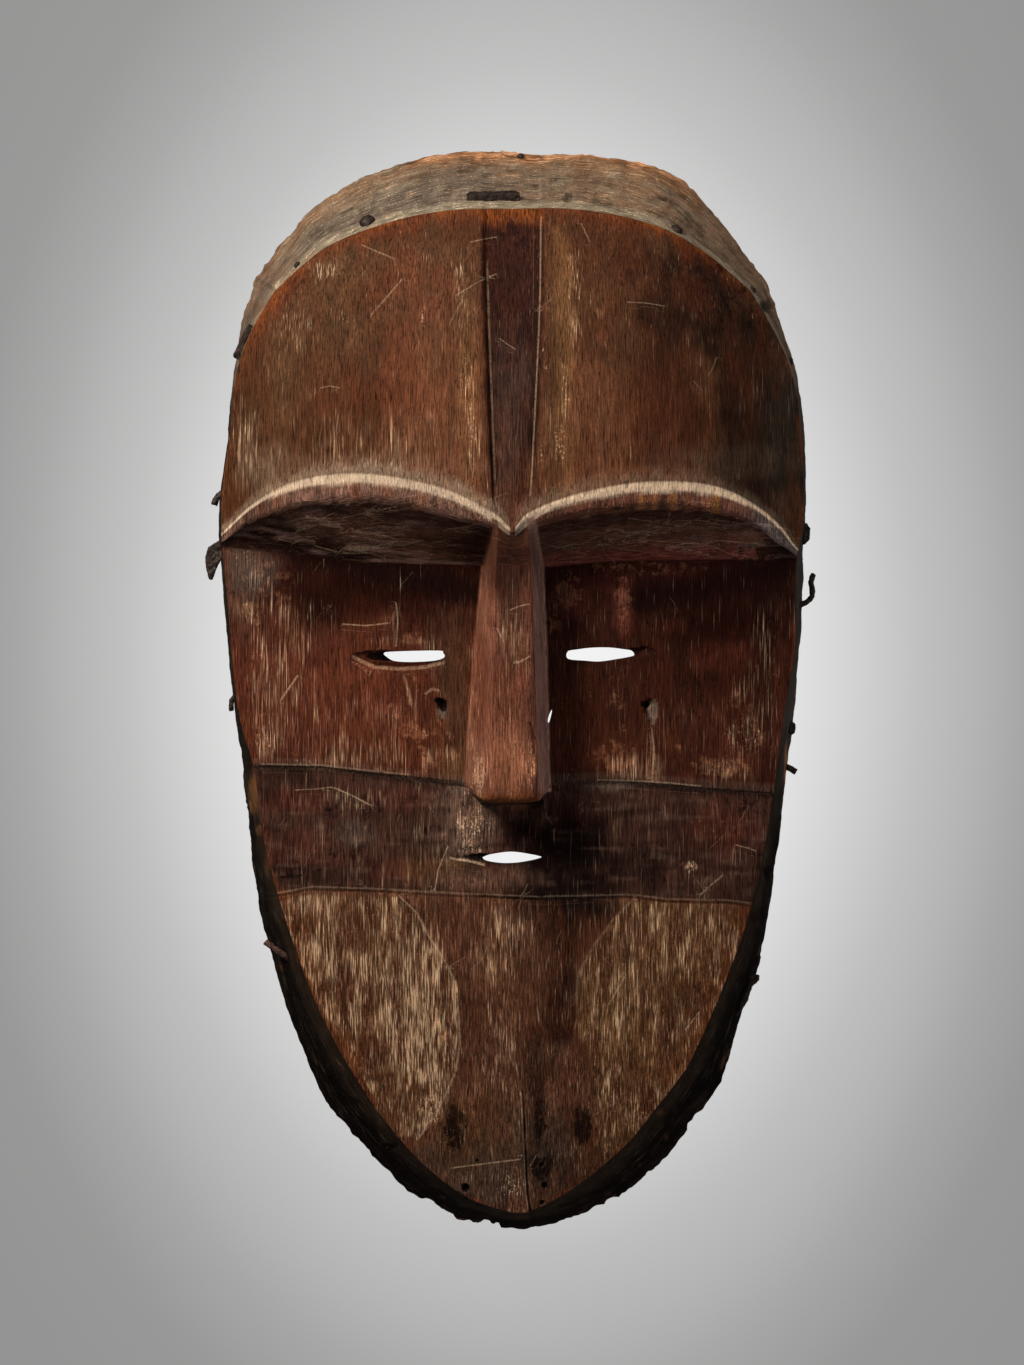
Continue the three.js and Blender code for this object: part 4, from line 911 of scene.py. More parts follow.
# Pale and dark lines of pixels, each with a width in pixels and a strength. The pale lines along
# the strip's edges and over the band's groove are painted highlight, and the dark lines along the
# strip's left edge and in the groove are painted shade.
PALE_LINES = [
    (LEFT_CHEEK_RIM, 2.4, 0.4), (RIGHT_CHEEK_RIM, 3, 0.16), (LEFT_EYE_LIP, 4, 0.4), (MOUTH_LIP, 3, 0.9),
    ([(404, 676), (408, 690), (412, 706)], 3, 0.3), ([(424, 695), (432, 689), (441, 691)], 3, 0.35),
    ([(x, y - 3) for x, y in BAND_FOOT_LEFT], 2, 0.22), ([(x, y - 3) for x, y in BAND_FOOT_RIGHT], 2, 0.2),
    ([(541, 216), (540, 300), (537, 370), (533.5, 440), (530.5, 495)], 1.8, 0.45),
    ([(487, 262), (490, 350), (493, 430), (495, 480)], 2.4, 0.2),
    ([(598, 780), (636, 781), (670, 783), (700, 786)], 2, 0.5),
    ([(262, 764), (321, 765), (373, 771), (412, 775)], 2, 0.3),
    ([(521, 1092), (523.6, 1143), (524.4, 1166), (525.6, 1193), (528, 1209)], 1.6, 0.6),
]
DARK_LINES = [
    ([(483, 222), (487.5, 350), (490, 440), (493, 500)], 1.7, 0.6), (BAND_TOP_LEFT, 1.8, 0.7),
    (BAND_TOP_RIGHT, 1.8, 0.6), (CHIN_CRACK, 2.6, 0.95), (BAND_FOOT_LEFT, 2.2, 0.6),
    (BAND_FOOT_RIGHT, 2.2, 0.6), (NOSE_CRACK, 3.4, 0.7), ([(281, 877), (292, 878), (302, 875)], 3, 0.8),
    ([(566, 975), (562, 998), (556, 1010)], 5, 0.5), ([(352, 654), (372, 650.6), (388, 650)], 2, 0.6),
    ([(636, 650), (645, 648), (654, 649)], 1.6, 0.5), ([(638, 656), (648, 654.6), (658, 651)], 1.6, 0.5),
]


def line_field(px, py, lines):
    """How far each pixel is from the nearest line, in half widths, negative on one side of it.

    The second result is the strength of that line, which is nothing past its ends or far from it.
    A pattern drawn where the first result is near 0 has edges finer than the points it is held on.
    """
    field = np.full(len(px), 9.0)
    force = np.zeros(len(px))
    for line, width, strength in lines:
        line = np.array(line, float)
        for number, ((ax, ay), (bx, by)) in enumerate(zip(line, line[1:])):
            length = math.hypot(bx - ax, by - ay)
            along = ((px - ax) * (bx - ax) + (py - ay) * (by - ay)) / length
            aside = ((px - ax) * (by - ay) - (py - ay) * (bx - ax)) / length
            past = np.maximum(-along, along - length)
            outer_end = (number == 0) * (along < length / 2)
            outer_end = outer_end + (number == len(line) - 2) * (along > length / 2)
            distance = np.hypot(aside, np.maximum(past, 0))
            within = smooth(1.6, 0.2, past) * outer_end + smooth(3, 0, past) * (1 - outer_end)
            seen = strength * within * smooth(9, 5, np.abs(aside))
            closer = (distance / (width / 2) < np.abs(field)) & (seen > 0)
            field = np.where(closer, aside / (width / 2), field)
            force = np.where(closer, seen, force)
    return field, force


class Paint:
    """The finish of a piece, point by point: its colour and the strengths of its patterns."""

    PATTERNS = ("fibre", "rub", "soot", "polish", "smoke", "stain", "scratch_and_highlight_line", "scratch_and_highlight_line_force", "gap",
                "gap_force", "hole_shade")

    def __init__(self, count, colour):
        self.tint = np.tile(linear(OLD_WOOD[colour]), (count, 1))
        self.amount = {name: np.zeros(count) for name in self.PATTERNS}

    def lay(self, where, colour, strength=1.0):
        share = np.clip(where * strength, 0, 1)[:, None]
        self.tint = mix(self.tint, linear(OLD_WOOD[colour]), share)

    def raise_to(self, name, where, strength=1.0):
        self.amount[name] = np.maximum(self.amount[name], where * strength)

    def lower(self, name, where):
        self.amount[name] *= 1 - np.clip(where, 0, 1)


def hole_shade_depth(px, py, outlines, spots):
    """How far each pixel is inside the nearest hole painted with shade, in pixels, negative outside it."""
    depth = np.full(len(px), -4.0)
    for outline in outlines:
        distance = off_line(px, py, outline + outline[:1])[0]
        depth = np.maximum(depth, np.where(inside(px, py, outline), distance, -distance))
    for x, y, radius in spots:
        depth = np.maximum(depth, radius - np.hypot(px - x, py - y))
    return np.clip(depth, -4, 4)


# Where stray scratches lie in the picture (left, top, right and bottom), and how they slant in
# radians: the mean and the spread
WHOLE_FACE = (245, 225, 775, 1190)
ANY_WAY = (1, 0.3)
ALONG_BROW = (0.14, 0.08)


def stray_scratches(count, seed, longest, strongest, area=WHOLE_FACE, slant=ANY_WAY):
    """Fine scratches strewn over an area of the picture, slanting either way."""
    dice = np.random.default_rng(seed)
    lines = []
    for _ in range(count):
        x, y = dice.uniform(area[0], area[2]), dice.uniform(area[1], area[3])
        angle = dice.normal(*slant) * dice.choice((-1, 1))
        reach = dice.uniform(0.25, 1) * longest
        bend = dice.normal(0, 0.08) * reach
        dx, dy = math.cos(angle), math.sin(angle)
        middle = (x + dx * reach / 2 - dy * bend, y + dy * reach / 2 + dx * bend)
        lines.append(([(x, y), middle, (x + dx * reach, y + dy * reach)], dice.uniform(0.9, 1.5),
                      dice.uniform(0.3, 1) * strongest))
    return lines


def paint_front(paint, points, stretch, places, on_front, edge):
    """Colours of the carved front, seen in the photograph's pixels."""
    ragged = noise(points, (5, 9, 5), 21) + 0.6 * noise(points, (1.8, 3.4, 1.8), 22)
    broad = noise(points, (22, 40, 22), 23)
    streaky = noise(points, (2.4, 30, 5), 26) + 0.5 * noise(points, (1.4, 12, 3), 27)
    px, py = pixels_of(points)
    middle = np.abs(places) <= OUTER_LINE
    forehead = on_front & (stretch < AT_LEDGE)
    strip = forehead & middle
    ledge = on_front & (stretch >= AT_FLARE) & (stretch < AT_LEDGE_FOOT)
    underbrow = on_front & (stretch >= AT_LEDGE_FOOT) & (stretch < AT_FACE) & ~middle
    face = on_front & (stretch >= AT_FACE) & (stretch < AT_BAND) & ~middle
    nose = on_front & middle & (stretch >= AT_LEDGE + 0.4) & (stretch < AT_NOSE_END + 0.3)
    nose_end = on_front & (np.abs(places) < 0.13) & (stretch >= AT_NOSE_END + 0.3)
    nose_end &= stretch < AT_NOSE_FOOT + 0.04
    band = on_front & (stretch >= AT_BAND) & (stretch < AT_LOWER) & ~nose
    lower = on_front & (stretch >= AT_LOWER)
    right = smooth(500, 520, px)

    paint.lay(forehead, "forehead")
    paint.lay(face, "face")
    # The right of the face is painted darker, as shade
    paint.lay(face * right, "face right shade", 0.85)
    paint.lay(band, "band")
    paint.lay(lower, "lower")
    paint.lay(nose, "nose")
    paint.lay(nose_end, "nose shadow")
    paint.lay(underbrow, "underbrow")
    paint.lay(strip, "strip")
    # The right of the underbrow is painted lighter, as if lit
    paint.lay(underbrow * right, "underbrow right lit", 0.9)
    paint.lay(underbrow * right * smooth(3.55, 4, stretch), "underbrow red", 0.6)
    for x, y, wide, tall, colour, strength in STAINS:
        zone = on_front & (underbrow == colour.startswith("underbrow"))
        paint.lay(zone * spot(px, py, x, y, wide, tall, ragged), colour, strength)
    for name, marks in (("stain", LIGHT_STAINS), ("smoke", SMOKE_STAINS)):
        for x, y, wide, tall, strength in marks:
            where = on_front * (stretch > 0) * spot(px, py, x, y, wide, tall, 0.5 * ragged)
            paint.raise_to(name, where, strength)
    paint.lay(on_front * smooth(0.1, 0.9, broad), "shadow", 0.14)
    paint.lay(on_front * smooth(0.1, 0.9, streaky), "shadow", 0.22)
    paint.lay((forehead | lower | nose) * smooth(-0.1, -0.9, streaky), "forehead red", 0.3)
    mottled = noise(points, (13, 22, 13), 36) + 0.4 * ragged
    paint.lay((forehead & ~strip) * smooth(0.1, 0.9, mottled), "forehead olive", 0.3)
    paint.lay((forehead | face | lower) * smooth(-0.1, -0.9, mottled), "forehead red", 0.35)

    # Painted shade on the top of the face in the hollow below the brow, and the painted shadow that the brow
    # casts there
    under_brow_shade = face * smooth(4.36, 4.02, stretch + 0.05 * ragged)
    paint.lay(under_brow_shade * smooth(250, 330, px) * smooth(800, 740, px), "face shade", 0.9)
    for line in BROW_SHADOWS:
        near = smooth(26, 4, off_line(px, py, line)[0] + 3 * ragged)
        paint.lay((underbrow | face) * near, "brow shadow", 0.9)
    paint.lay(underbrow * smooth(0.1, 0.7, noise(points, (14, 2.6, 2.6), 28)), "shadow", 0.3)
    paint.lay(underbrow * smooth(0, 0.7, noise(points, (16, 1.6, 1.6), 29)), "underbrow light", 0.65)
    # Painted shade on the underbrow just below the ledge
    paint.lay(underbrow * smooth(3.4, 3.1, stretch + 0.1 * ragged), "underbrow shade", 0.6)
    low_right = underbrow * right * smooth(3.6, 3.85, stretch + 0.08 * ragged)
    paint.lay(low_right * smooth(780, 740, px), "face mauve", 0.85)

    # Each zone has its own share of pale fibres, flecks and soot
    for where, fibre, rub, soot in ((forehead & ~strip, 0.04, 0.06, 0.15), (strip, 0, 0.08, 0.3),
                                    (face, 0.04, 0.04, 0.2), (band, 0.05, 0.06, 0.35),
                                    (lower, 0.12, 0.12, 0.2), (nose, 0.04, 0.1, 0.1),
                                    (underbrow, 0.05, 0.32, 0.3), (ledge, 0, 0.05, 0.05)):
        paint.raise_to("fibre", where, fibre)
        paint.raise_to("rub", where, rub)
        paint.raise_to("soot", where, soot)
    for x, y, wide, tall, fibre, rub in RUBS:
        where = on_front * ~underbrow * spot(px, py, x, y, wide, tall, 0.8 * ragged)
        paint.raise_to("fibre", where, fibre)
        paint.raise_to("rub", where, rub)

    paint.lower("fibre", under_brow_shade)

    # Pale cheeks below the band
    for outline, colour, fibre in ((LEFT_CHEEK, "cheek left", 0.56), (RIGHT_CHEEK, "cheek", 0.47)):
        within = lower & inside(px, py, outline)
        deep = within * smooth(0, 10, off_line(px, py, outline)[0] + 5 * ragged + 5)
        patch = deep * (0.7 + 0.3 * smooth(-0.6, 0.5, broad + 0.5 * ragged))
        paint.lay(patch, colour, 0.85)
        reddish = patch * smooth(0.1, 0.9, streaky + 0.6 * ragged + 0.5 * broad)
        for x, y, wide, tall in CHEEK_GAPS:
            reddish = np.maximum(reddish, patch * spot(px, py, x, y, wide, tall, ragged))
        paint.lay(reddish, "lower red", 0.8)
        paint.raise_to("fibre", patch * (0.85 + 0.3 * ragged), fibre)
        paint.lower("fibre", 0.4 * reddish)
        paint.raise_to("rub", patch * (0.8 + 0.3 * ragged), 0.42)
        paint.lower("soot", 0.6 * patch)
    rusty = lower * smooth(22, 5, edge + 4 * ragged) * smooth(1150, 1060, py)
    paint.lay(rusty, "cheek rust", 0.55)

    # The worn crest of the ledge with a painted highlight on it, its patina above and its reddish front
    crest = ledge & (np.abs(places) > 0.02)
    soft_patina = smooth(0.95, 1.8, stretch + 0.25 * ragged + 0.1 * streaky) * (0.8 - 0.4 * right)
    paint.lay(on_front * (stretch < 2.05) * (np.abs(places) > 0.02) * soft_patina, "ledge patina", 0.9)
    front = on_front & (stretch >= 2.08) & (stretch < 3.1 + 0.03 * ragged) & (ledge | underbrow)
    paint.lay(front, "ledge front")
    paint.lay(front * right, "worn red", 0.45)
    paint.lay(front * smooth(0, 0.7, noise(points, (1.2, 12, 3), 24)), "shadow", 0.5)
    paint.lay(front * smooth(0.1, 0.7, noise(points, (3, 12, 3), 30)), "worn orange", 0.4)
    for x, wide in ((672, 5), (641, 3), (716, 4), (655, 2.5)):
        paint.lay(front * smooth(wide, wide / 2, np.abs(px - x)), "chip", 0.8)
    paint.lay(front * smooth(735, 765, px), "ledge grey", 0.8)
    paint.lay(front * smooth(300, 245, px), "shadow", 0.4)
    off_middle = np.abs(points[:, 0])
    crest_highlight_end = 2.4 - 0.2 * smooth(60, 92, off_middle) + 0.5 * smooth(12, 4, off_middle) - 0.04 * ragged
    crest_wear_and_highlight = crest * smooth(1.93, 2.04, stretch + 0.03 * ragged)
    crest_wear_and_highlight = crest_wear_and_highlight * smooth(crest_highlight_end + 0.06, crest_highlight_end - 0.04, stretch)
    paint.lay(crest_wear_and_highlight, "ledge crest wear and highlight", 0.9)
    paint.lay(crest_wear_and_highlight * right, "ledge crest wear and highlight right", 0.8)
    paint.lay(crest_wear_and_highlight * smooth(0.3, 1, ragged), "ledge patina", 0.25)
    for name in ("soot", "fibre", "rub"):
        paint.lower(name, crest_wear_and_highlight)
    paint.raise_to("polish", crest_wear_and_highlight, 0.9)

    # Edges worn to orange wood, in ragged stretches, strongest along the crown
    worn = smooth(-0.1, 0.6, noise(points, (6, 6, 6), 25) + 0.5 * ragged)
    arc = smooth(380, 300, py) * smooth(790, 700, px)
    fray = edge + 4 * ragged + 4 * streaky
    paint.lay(forehead * arc * smooth(10, 2, fray) * (0.3 + 0.7 * worn), "worn orange", 0.75)
    paint.lay(forehead * arc * smooth(20, 6, fray), "worn red", 0.3)
    paint.lay(forehead * smooth(5, 1, edge + 3 * ragged) * worn, "worn orange", 0.5)
    paint.lay((face | band | lower) * smooth(4, 1, edge + 2 * ragged) * worn, "worn red", 0.6)
    paint.lay(strip * smooth(228, 214, py + 4 * ragged), "worn orange", 0.7)

    # Painted shade on the sides of the sunken strip, the left one most
    paint.lay((strip & (places < -0.09)) * smooth(225, 245, py), "shadow", 0.1)
    paint.lay(strip & (places > 0.085), "shadow", 0.15)

    # Dark and greyish strokes across the band
    paint.lay(band * smooth(0.1, 0.7, noise(points, (12, 2.2, 2.2), 40)), "shadow", 0.4)
    paint.lay(band * smooth(0.2, 0.8, noise(points, (13, 1.5, 1.5), 41)), "band grey", 0.35)

    # The nose: reddish left facet painted lighter as lit, grey right facet painted pale as a sheen, painted
    # shadow of the brow at its top, and a pale foot
    paint.lay(nose & (places < -0.095), "nose left reddish lit", 0.8)
    paint.lay(nose & (places > 0.1), "nose right sheen", 0.85)
    paint.lay(nose * spot(px, py, 506, 556, 34, 50, 0.3 * ragged), "nose brow shadow", 0.6)
    paint.lay(nose * spot(px, py, 480, 690, 9, 70, 0.5 * ragged), "worn red", 0.5)
    paint.lay(nose * spot(px, py, 514, 620, 14, 60, 0.5 * ragged), "face olive", 0.45)
    paint.lay(nose * smooth(789, 797, py + 2 * ragged), "worn orange", 0.6)
    paint.lay(nose * smooth(0.012, 0, np.abs(np.abs(places) - INNER_LINE)), "worn red", 0.35)

    # Painted highlight on the lip of the band's groove
    groove_highlight = on_front & ~middle & (stretch > 4.96) & (stretch < 5.7)
    paint.lay(groove_highlight, "pale grey and groove highlight", 0.12)

    # Slits and holes painted with shade, scratches, the crack in the chin, and painted highlight and
    # shade along the strip's edges and the band's groove, drawn finer than the points of the piece
    scratched = [(line, 0.6 * width, 0.5 if line[0][1] > 500 else 0.28) for line, width in DEEP_SCRATCHES]
    scratched += [(line, 0.55 * width, 0.4) for line, width in FINE_SCRATCHES]
    strewn = stray_scratches(60, 17, 34, 0.22)
    strewn += stray_scratches(34, 3, 60, 0.4, (545, 515, 770, 552), ALONG_BROW)
    strewn += stray_scratches(30, 4, 60, 0.3, (270, 505, 470, 550), ALONG_BROW)
    field, force = line_field(px, py, PALE_LINES + scratched + strewn)
    paint.amount["scratch_and_highlight_line"], paint.amount["scratch_and_highlight_line_force"] = field, force * on_front
    field, force = line_field(px, py, DARK_LINES + stray_scratches(60, 8, 34, 0.5))
    paint.amount["gap"], paint.amount["gap_force"] = field, force * on_front
    paint.amount["hole_shade"] = np.where(on_front, hole_shade_depth(
        px, py, (LEFT_EYE_SHADE, MOUTH_SHADE, LEFT_PIT), [(*RIGHT_PIT, 3.4), *CHIN_HOLES]), -4)
    paint.lay(on_front * inside(px, py, LEFT_PIT_WEDGE), "grey", 0.6)
    paint.lay(on_front * inside(px, py, RIGHT_PIT_WEDGE), "pale grey and groove highlight", 0.7)
    paint.raise_to("polish", nose | face, 0.3)
    paint.raise_to("polish", forehead & ~strip, 0.45)


def paint_walls(paint, points, down, on_wall):
    """Colours of the walls: brown-grey and pitted over the crown, near black round the cheeks."""
    px, py = pixels_of(points)
    ragged = noise(points, (4, 4, 4), 31) + 0.6 * noise(points, (1.5, 1.5, 1.5), 32)
    upper = smooth(88, 128, points[:, 1] + 8 * ragged)
    crown = on_wall * upper
    low = on_wall * smooth(-10, -60, points[:, 1])
    right = smooth(-20, 60, points[:, 0])
    paint.lay(on_wall, "side wall")
    paint.lay(on_wall * smooth(80, 90, points[:, 0]) * smooth(-70, -30, points[:, 1]), "side wall grey", 0.8)
    paint.lay(low, "low wall")
    paint.lay(low * smooth(-140, -165, points[:, 1]), "shadow", 0.8)
    paint.lay(low * smooth(-150, -60, points[:, 1]) * smooth(-0.2, 0.8, ragged), "low wall grey", 0.3)
    paint.lay(crown, "crown wall")
    paint.lay(crown * smooth(0.45, 0.75, down + 0.12 * ragged), "crown brown", 0.6)
    paint.lay(crown * smooth(-30, 50, points[:, 0] + 12 * ragged), "crown brown", 0.55)
    along = np.stack([points[:, 0], WALL_SLOPE * down, np.zeros(len(points))], axis=1)
    paint.lay(crown * smooth(0.1, 0.6, noise(along, (8, 3.4, 1), 38) + 0.8 * ragged), "shadow", 0.45)
    paint.lay(crown * smooth(0.1, 0.6, noise(along, (9, 3.4, 1), 39) + 0.8 * ragged), "crown pale", 0.45)
    paint.lay(crown * smooth(0.1, 1, ragged), "crown pink", 0.5)
    paint.lay(crown * smooth(0.1, 0.8, noise(points, (10, 5, 8), 35) + 0.8 * ragged), "shadow", 0.4)
    paint.lay(crown * smooth(0.2, 0.9, noise(points, (4, 2, 4), 37) + 0.8 * ragged), "crown pale", 0.4)
    paint.lay(crown * smooth(0.13, 0.08, down + 0.02 * ragged), "crown pale", 0.8)
    back = crown * smooth(0.8, 0.93, down + 0.1 * ragged) * smooth(395, 430, px) * smooth(715, 680, px)
    paint.lay(back, "crown fibre", 0.8)
    paint.lay(crown * smooth(-60, -90, points[:, 0]) * smooth(-0.3, 0.6, ragged), "crown pink", 0.6)
    paint.lay(crown * right * smooth(0.6, 0.9, down) * smooth(0.1, 0.7, ragged), "crown fibre", 0.6)
    paint.lay(on_wall * smooth(0.9, 1.2, noise(points, (3, 5, 3), 34) + 0.3 * down), "chip", 0.4)
    for x, y, wide, tall in ORANGE_CHIPS:
        paint.lay(on_wall * spot(px, py, x, y, wide, tall, ragged), "chip", 0.9)
    for x, y, wide, tall in WALL_PITS:
        paint.lay(on_wall * spot(px, py, x, y, wide, tall, 0.5 * ragged), "shadow", 0.9)
    paint.lay(low * smooth(0.45, 0.15, down + 0.1 * ragged), "low wall brown", 0.8)
    paint.raise_to("smoke", crown, 0.5)
    paint.raise_to("stain", on_wall, 0.1)
    paint.raise_to("stain", crown, 0.45)
    paint.raise_to("rub", on_wall, 0.3)
    paint.raise_to("rub", crown, 0.5)
    paint.raise_to("fibre", on_wall, 0.1)
    paint.raise_to("fibre", crown, 0.12)
    paint.raise_to("fibre", back, 0.45)
    paint.raise_to("soot", on_wall, 0.6)
    paint.raise_to("soot", back, 0.9)


# Materials


def new_material(name):
    made = bpy.data.materials.new(name)
    made.use_nodes = True
    made.node_tree.nodes.clear()
    return made


def put(material, kind, inputs=(), output=0, **settings):
    """Adds a node with its settings and links, and gives back one of its outputs.

    Inputs go by order or by socket. Each is a value or an earlier output, which is linked.
    """
    node = material.node_tree.nodes.new("ShaderNode" + kind)
    for name, value in settings.items():
        setattr(node, name, value)
    for socket, value in inputs.items() if isinstance(inputs, dict) else enumerate(inputs):
        if isinstance(value, bpy.types.NodeSocket):
            material.node_tree.links.new(value, node.inputs[socket])
        else:
            node.inputs[socket].default_value = value
    return node.outputs[output] if len(node.outputs) else None


# Settings that many nodes share
SOFTLY = {"interpolation_type": "SMOOTHSTEP"}
TIMES = {"operation": "MULTIPLY"}
TIMES_PLUS = {"operation": "MULTIPLY_ADD"}
PLUS = {"operation": "ADD"}
MINUS = {"operation": "SUBTRACT"}
SCALED = {"operation": "SCALE"}

# A colour mix: its two colours are sockets 6 and 7, and its colour comes out of socket 2
FIRST, SECOND, MIXED = 6, 7, 2
COLOURS = {"data_type": "RGBA"}


def lumps(material, where, size, detail=2.0, roughness=0.55):
    """Noise whose lumps measure size in millimetres along X, Y and Z."""
    scaled = put(material, "VectorMath", (where, [1 / (s * MM) for s in size]), **TIMES)
    return put(material, "TexNoise", {"Vector": scaled, "Scale": 1.0, "Detail": detail,
                                      "Roughness": roughness}, "Fac")


def weighted(material, *terms):
    """The sum of values, each times its weight."""
    total = 0.0
    for value, weight in terms:
        total = put(material, "Math", (value, weight, total), **TIMES_PLUS)
    return total


def solid_colour(colour):
    return (*linear(colour), 1.0)


def finished(material, colour, roughness, height, bump_mm, fixed):
    """Ends a material: a shader with its fixed values, a bump as high as bump_mm, and the output."""
    relief = put(material, "Bump", {"Strength": 1.0, "Distance": bump_mm * MM, "Height": height})
    shader = put(material, "BsdfPrincipled", {"Base Color": colour, "Roughness": roughness,
                                              "Normal": relief, **fixed})
    put(material, "OutputMaterial", {"Surface": shader})
    return material


# Grain of the wood: widths and lengths of its marks in millimetres. The real fibres are about
# 0.2 mm wide; they are drawn a little coarser, so that they show in a picture of the whole mask.
FIBRE = (0.4, 15, 1.2)
FINE_FIBRE = (0.34, 8, 0.9)
PORE = (0.34, 4.5, 0.8)
SPECK = (0.6, 1.0, 0.7)
PATCH = (7, 15, 8)
MOTTLE = (2.6, 3.4, 2.6)

# Height of the grain's relief, size of the rust pits and scales, splits of the bark, in millimetres
GRAIN_RELIEF = 0.45
RUST_PIT = (0.7, 0.7, 0.7)
RUST_SCALE = (2.2, 2.2, 2.2)
RUST_RELIEF = 0.25
BARK_SPLIT = (2.6, 0.5, 0.8)
BARK_RELIEF = 0.2


def aged_hardwood():
    """Old carved hardwood: oiled and smoked, so satin where it was handled and matt elsewhere.

    Pale bare fibres show where the dark skin is rubbed off, and soot lies in the pores.
    """
    wood = new_material("aged_carved_hardwood")
    coords = put(wood, "TexCoord", output="Object")
    grain = put(wood, "Attribute", output="Vector", attribute_name="grain")
    tint = put(wood, "Attribute", output="Color", attribute_name="tint")
    held = {name: put(wood, "Attribute", output="Fac", attribute_name=name) for name in Paint.PATTERNS}
    fibre = lumps(wood, grain, FIBRE, 3)
    fine = lumps(wood, grain, FINE_FIBRE, 2)
    pore = lumps(wood, grain, PORE, 1)
    speck = lumps(wood, coords, SPECK, 5, 0.65)
    patch = lumps(wood, coords, PATCH, 4)
    mottle = lumps(wood, coords, MOTTLE, 8, 0.7)

    # Smoke stains and lighter stains have ragged edges
    brighter = put(wood, "VectorMath", {0: tint, "Scale": 1.7}, **SCALED)
    lighter = put(wood, "Mix", {0: 0.2, FIRST: brighter, SECOND: solid_colour("#b5855f")}, MIXED, **COLOURS)
    for name, colour in (("smoke", solid_colour("#170906")), ("stain", lighter)):
        edge = put(wood, "Math", (mottle, 3, held[name]), **TIMES_PLUS)
        share = put(wood, "MapRange", (edge, 2.1, 2.45, 0, 0.85), **SOFTLY)
        tint = put(wood, "Mix", {0: share, FIRST: tint, SECOND: colour}, MIXED, **COLOURS)

    # Darker and lighter fibres, specks and broad soft patches, evened out where hands polished them
    level = 1.0
    for pattern, low, high, dark, light in ((speck, 0.36, 0.64, 0.7, 1.3), (patch, 0.35, 0.65, 0.85, 1.15),
                                            (fine, 0.38, 0.62, 0.6, 1.4)):
        shade = put(wood, "MapRange", (pattern, low, high, dark, light), **SOFTLY)
        level = put(wood, "Math", (shade, level), **TIMES)
    evened = put(wood, "Math", (held["polish"], 0.7), **TIMES)
    uneven = put(wood, "Math", (1, evened), **MINUS)
    level = put(wood, "Math", (level, uneven, evened), **TIMES_PLUS)
    toned = put(wood, "VectorMath", {0: tint, "Scale": level}, **SCALED)

    # Soot in the pores and in smudges
    in_pores = put(wood, "MapRange", (pore, 0.3, 0.4, 0.55, 0), **SOFTLY)
    in_specks = put(wood, "MapRange", (speck, 0.45, 0.62, 0, 0.8), **SOFTLY)
    in_fibres = put(wood, "MapRange", (fibre, 0.52, 0.68, 0, 0.6), **SOFTLY)
    smudge = put(wood, "Math", (in_specks, in_fibres), **PLUS)
    soot = put(wood, "Math", (held["soot"], smudge, in_pores), **TIMES_PLUS)
    soot = put(wood, "Math", (soot, 0.85), operation="MINIMUM")
    sooty = put(wood, "Mix", {0: soot, FIRST: toned, SECOND: solid_colour("#180803")}, MIXED, **COLOURS)

    # Bare pale fibres and flecks; where more is rubbed off, more of the pattern passes the bar
    streak = weighted(wood, (held["fibre"], 0.3), (fibre, 0.5), (fine, 0.32), (patch, 0.18))
    soft_streak = put(wood, "MapRange", (streak, 0.58, 0.7), **SOFTLY)
    sharp_streak = put(wood, "MapRange", (streak, 0.67, 0.71), **SOFTLY)
    streaks = weighted(wood, (soft_streak, 0.33), (sharp_streak, 0.62))
    fleck = weighted(wood, (held["rub"], 0.3), (speck, 0.65), (fine, 0.35))
    flecks = put(wood, "MapRange", (fleck, 0.71, 0.78, 0, 0.85), **SOFTLY)
    rubbed_off = put(wood, "Math", (streaks, flecks), operation="MAXIMUM")
    brighter = put(wood, "VectorMath", {0: toned, "Scale": 3.0}, **SCALED)
    pale = put(wood, "Mix", {0: 0.5, FIRST: brighter, SECOND: solid_colour("#f0dab4")}, MIXED, **COLOURS)
    shown = put(wood, "Mix", {0: rubbed_off, FIRST: sooty, SECOND: pale}, MIXED, **COLOURS)

    # Scratches and pale lines, cracks and dark lines, and holes have fine edges, because each is held as
    # a distance. The lines along the strip and the groove are painted highlight and shade, and the
    # holes and slit tails are painted shade
    broken = put(wood, "MapRange", (speck, 0.35, 0.55, 0.2, 1), **SOFTLY)
    for name, colour in (("scratch_and_highlight_line", pale), ("gap", solid_colour("#0a0604"))):
        aside = put(wood, "Math", (held[name],), operation="ABSOLUTE")
        on_line = put(wood, "MapRange", (aside, 1.15, 0.6), **SOFTLY)
        force = put(wood, "Math", (held[name + "_force"], broken), **TIMES)
        share = put(wood, "Math", (on_line, force), **TIMES)
        shown = put(wood, "Mix", {0: share, FIRST: shown, SECOND: colour}, MIXED, **COLOURS)
    # Holes and the tails of slits are painted with shade
    in_hole_shade = put(wood, "MapRange", (held["hole_shade"], -0.7, 0.7, 0, 0.95), **SOFTLY)
    shown = put(wood, "Mix", {0: in_hole_shade, FIRST: shown, SECOND: solid_colour("#080504")}, MIXED, **COLOURS)

    matt = put(wood, "MapRange", (fine, 0.3, 0.7, 0.52, 0.68), **SOFTLY)
    rough = put(wood, "Math", (held["polish"], -0.14, matt), **TIMES_PLUS)
    open_pore = put(wood, "MapRange", (pore, 0.3, 0.42), **SOFTLY)
    height = weighted(wood, (fine, 0.6), (open_pore, 0.5), (speck, 0.4))
    return finished(wood, shown, rough, height, GRAIN_RELIEF, {"IOR": 1.5, "Specular IOR Level": 0.05})


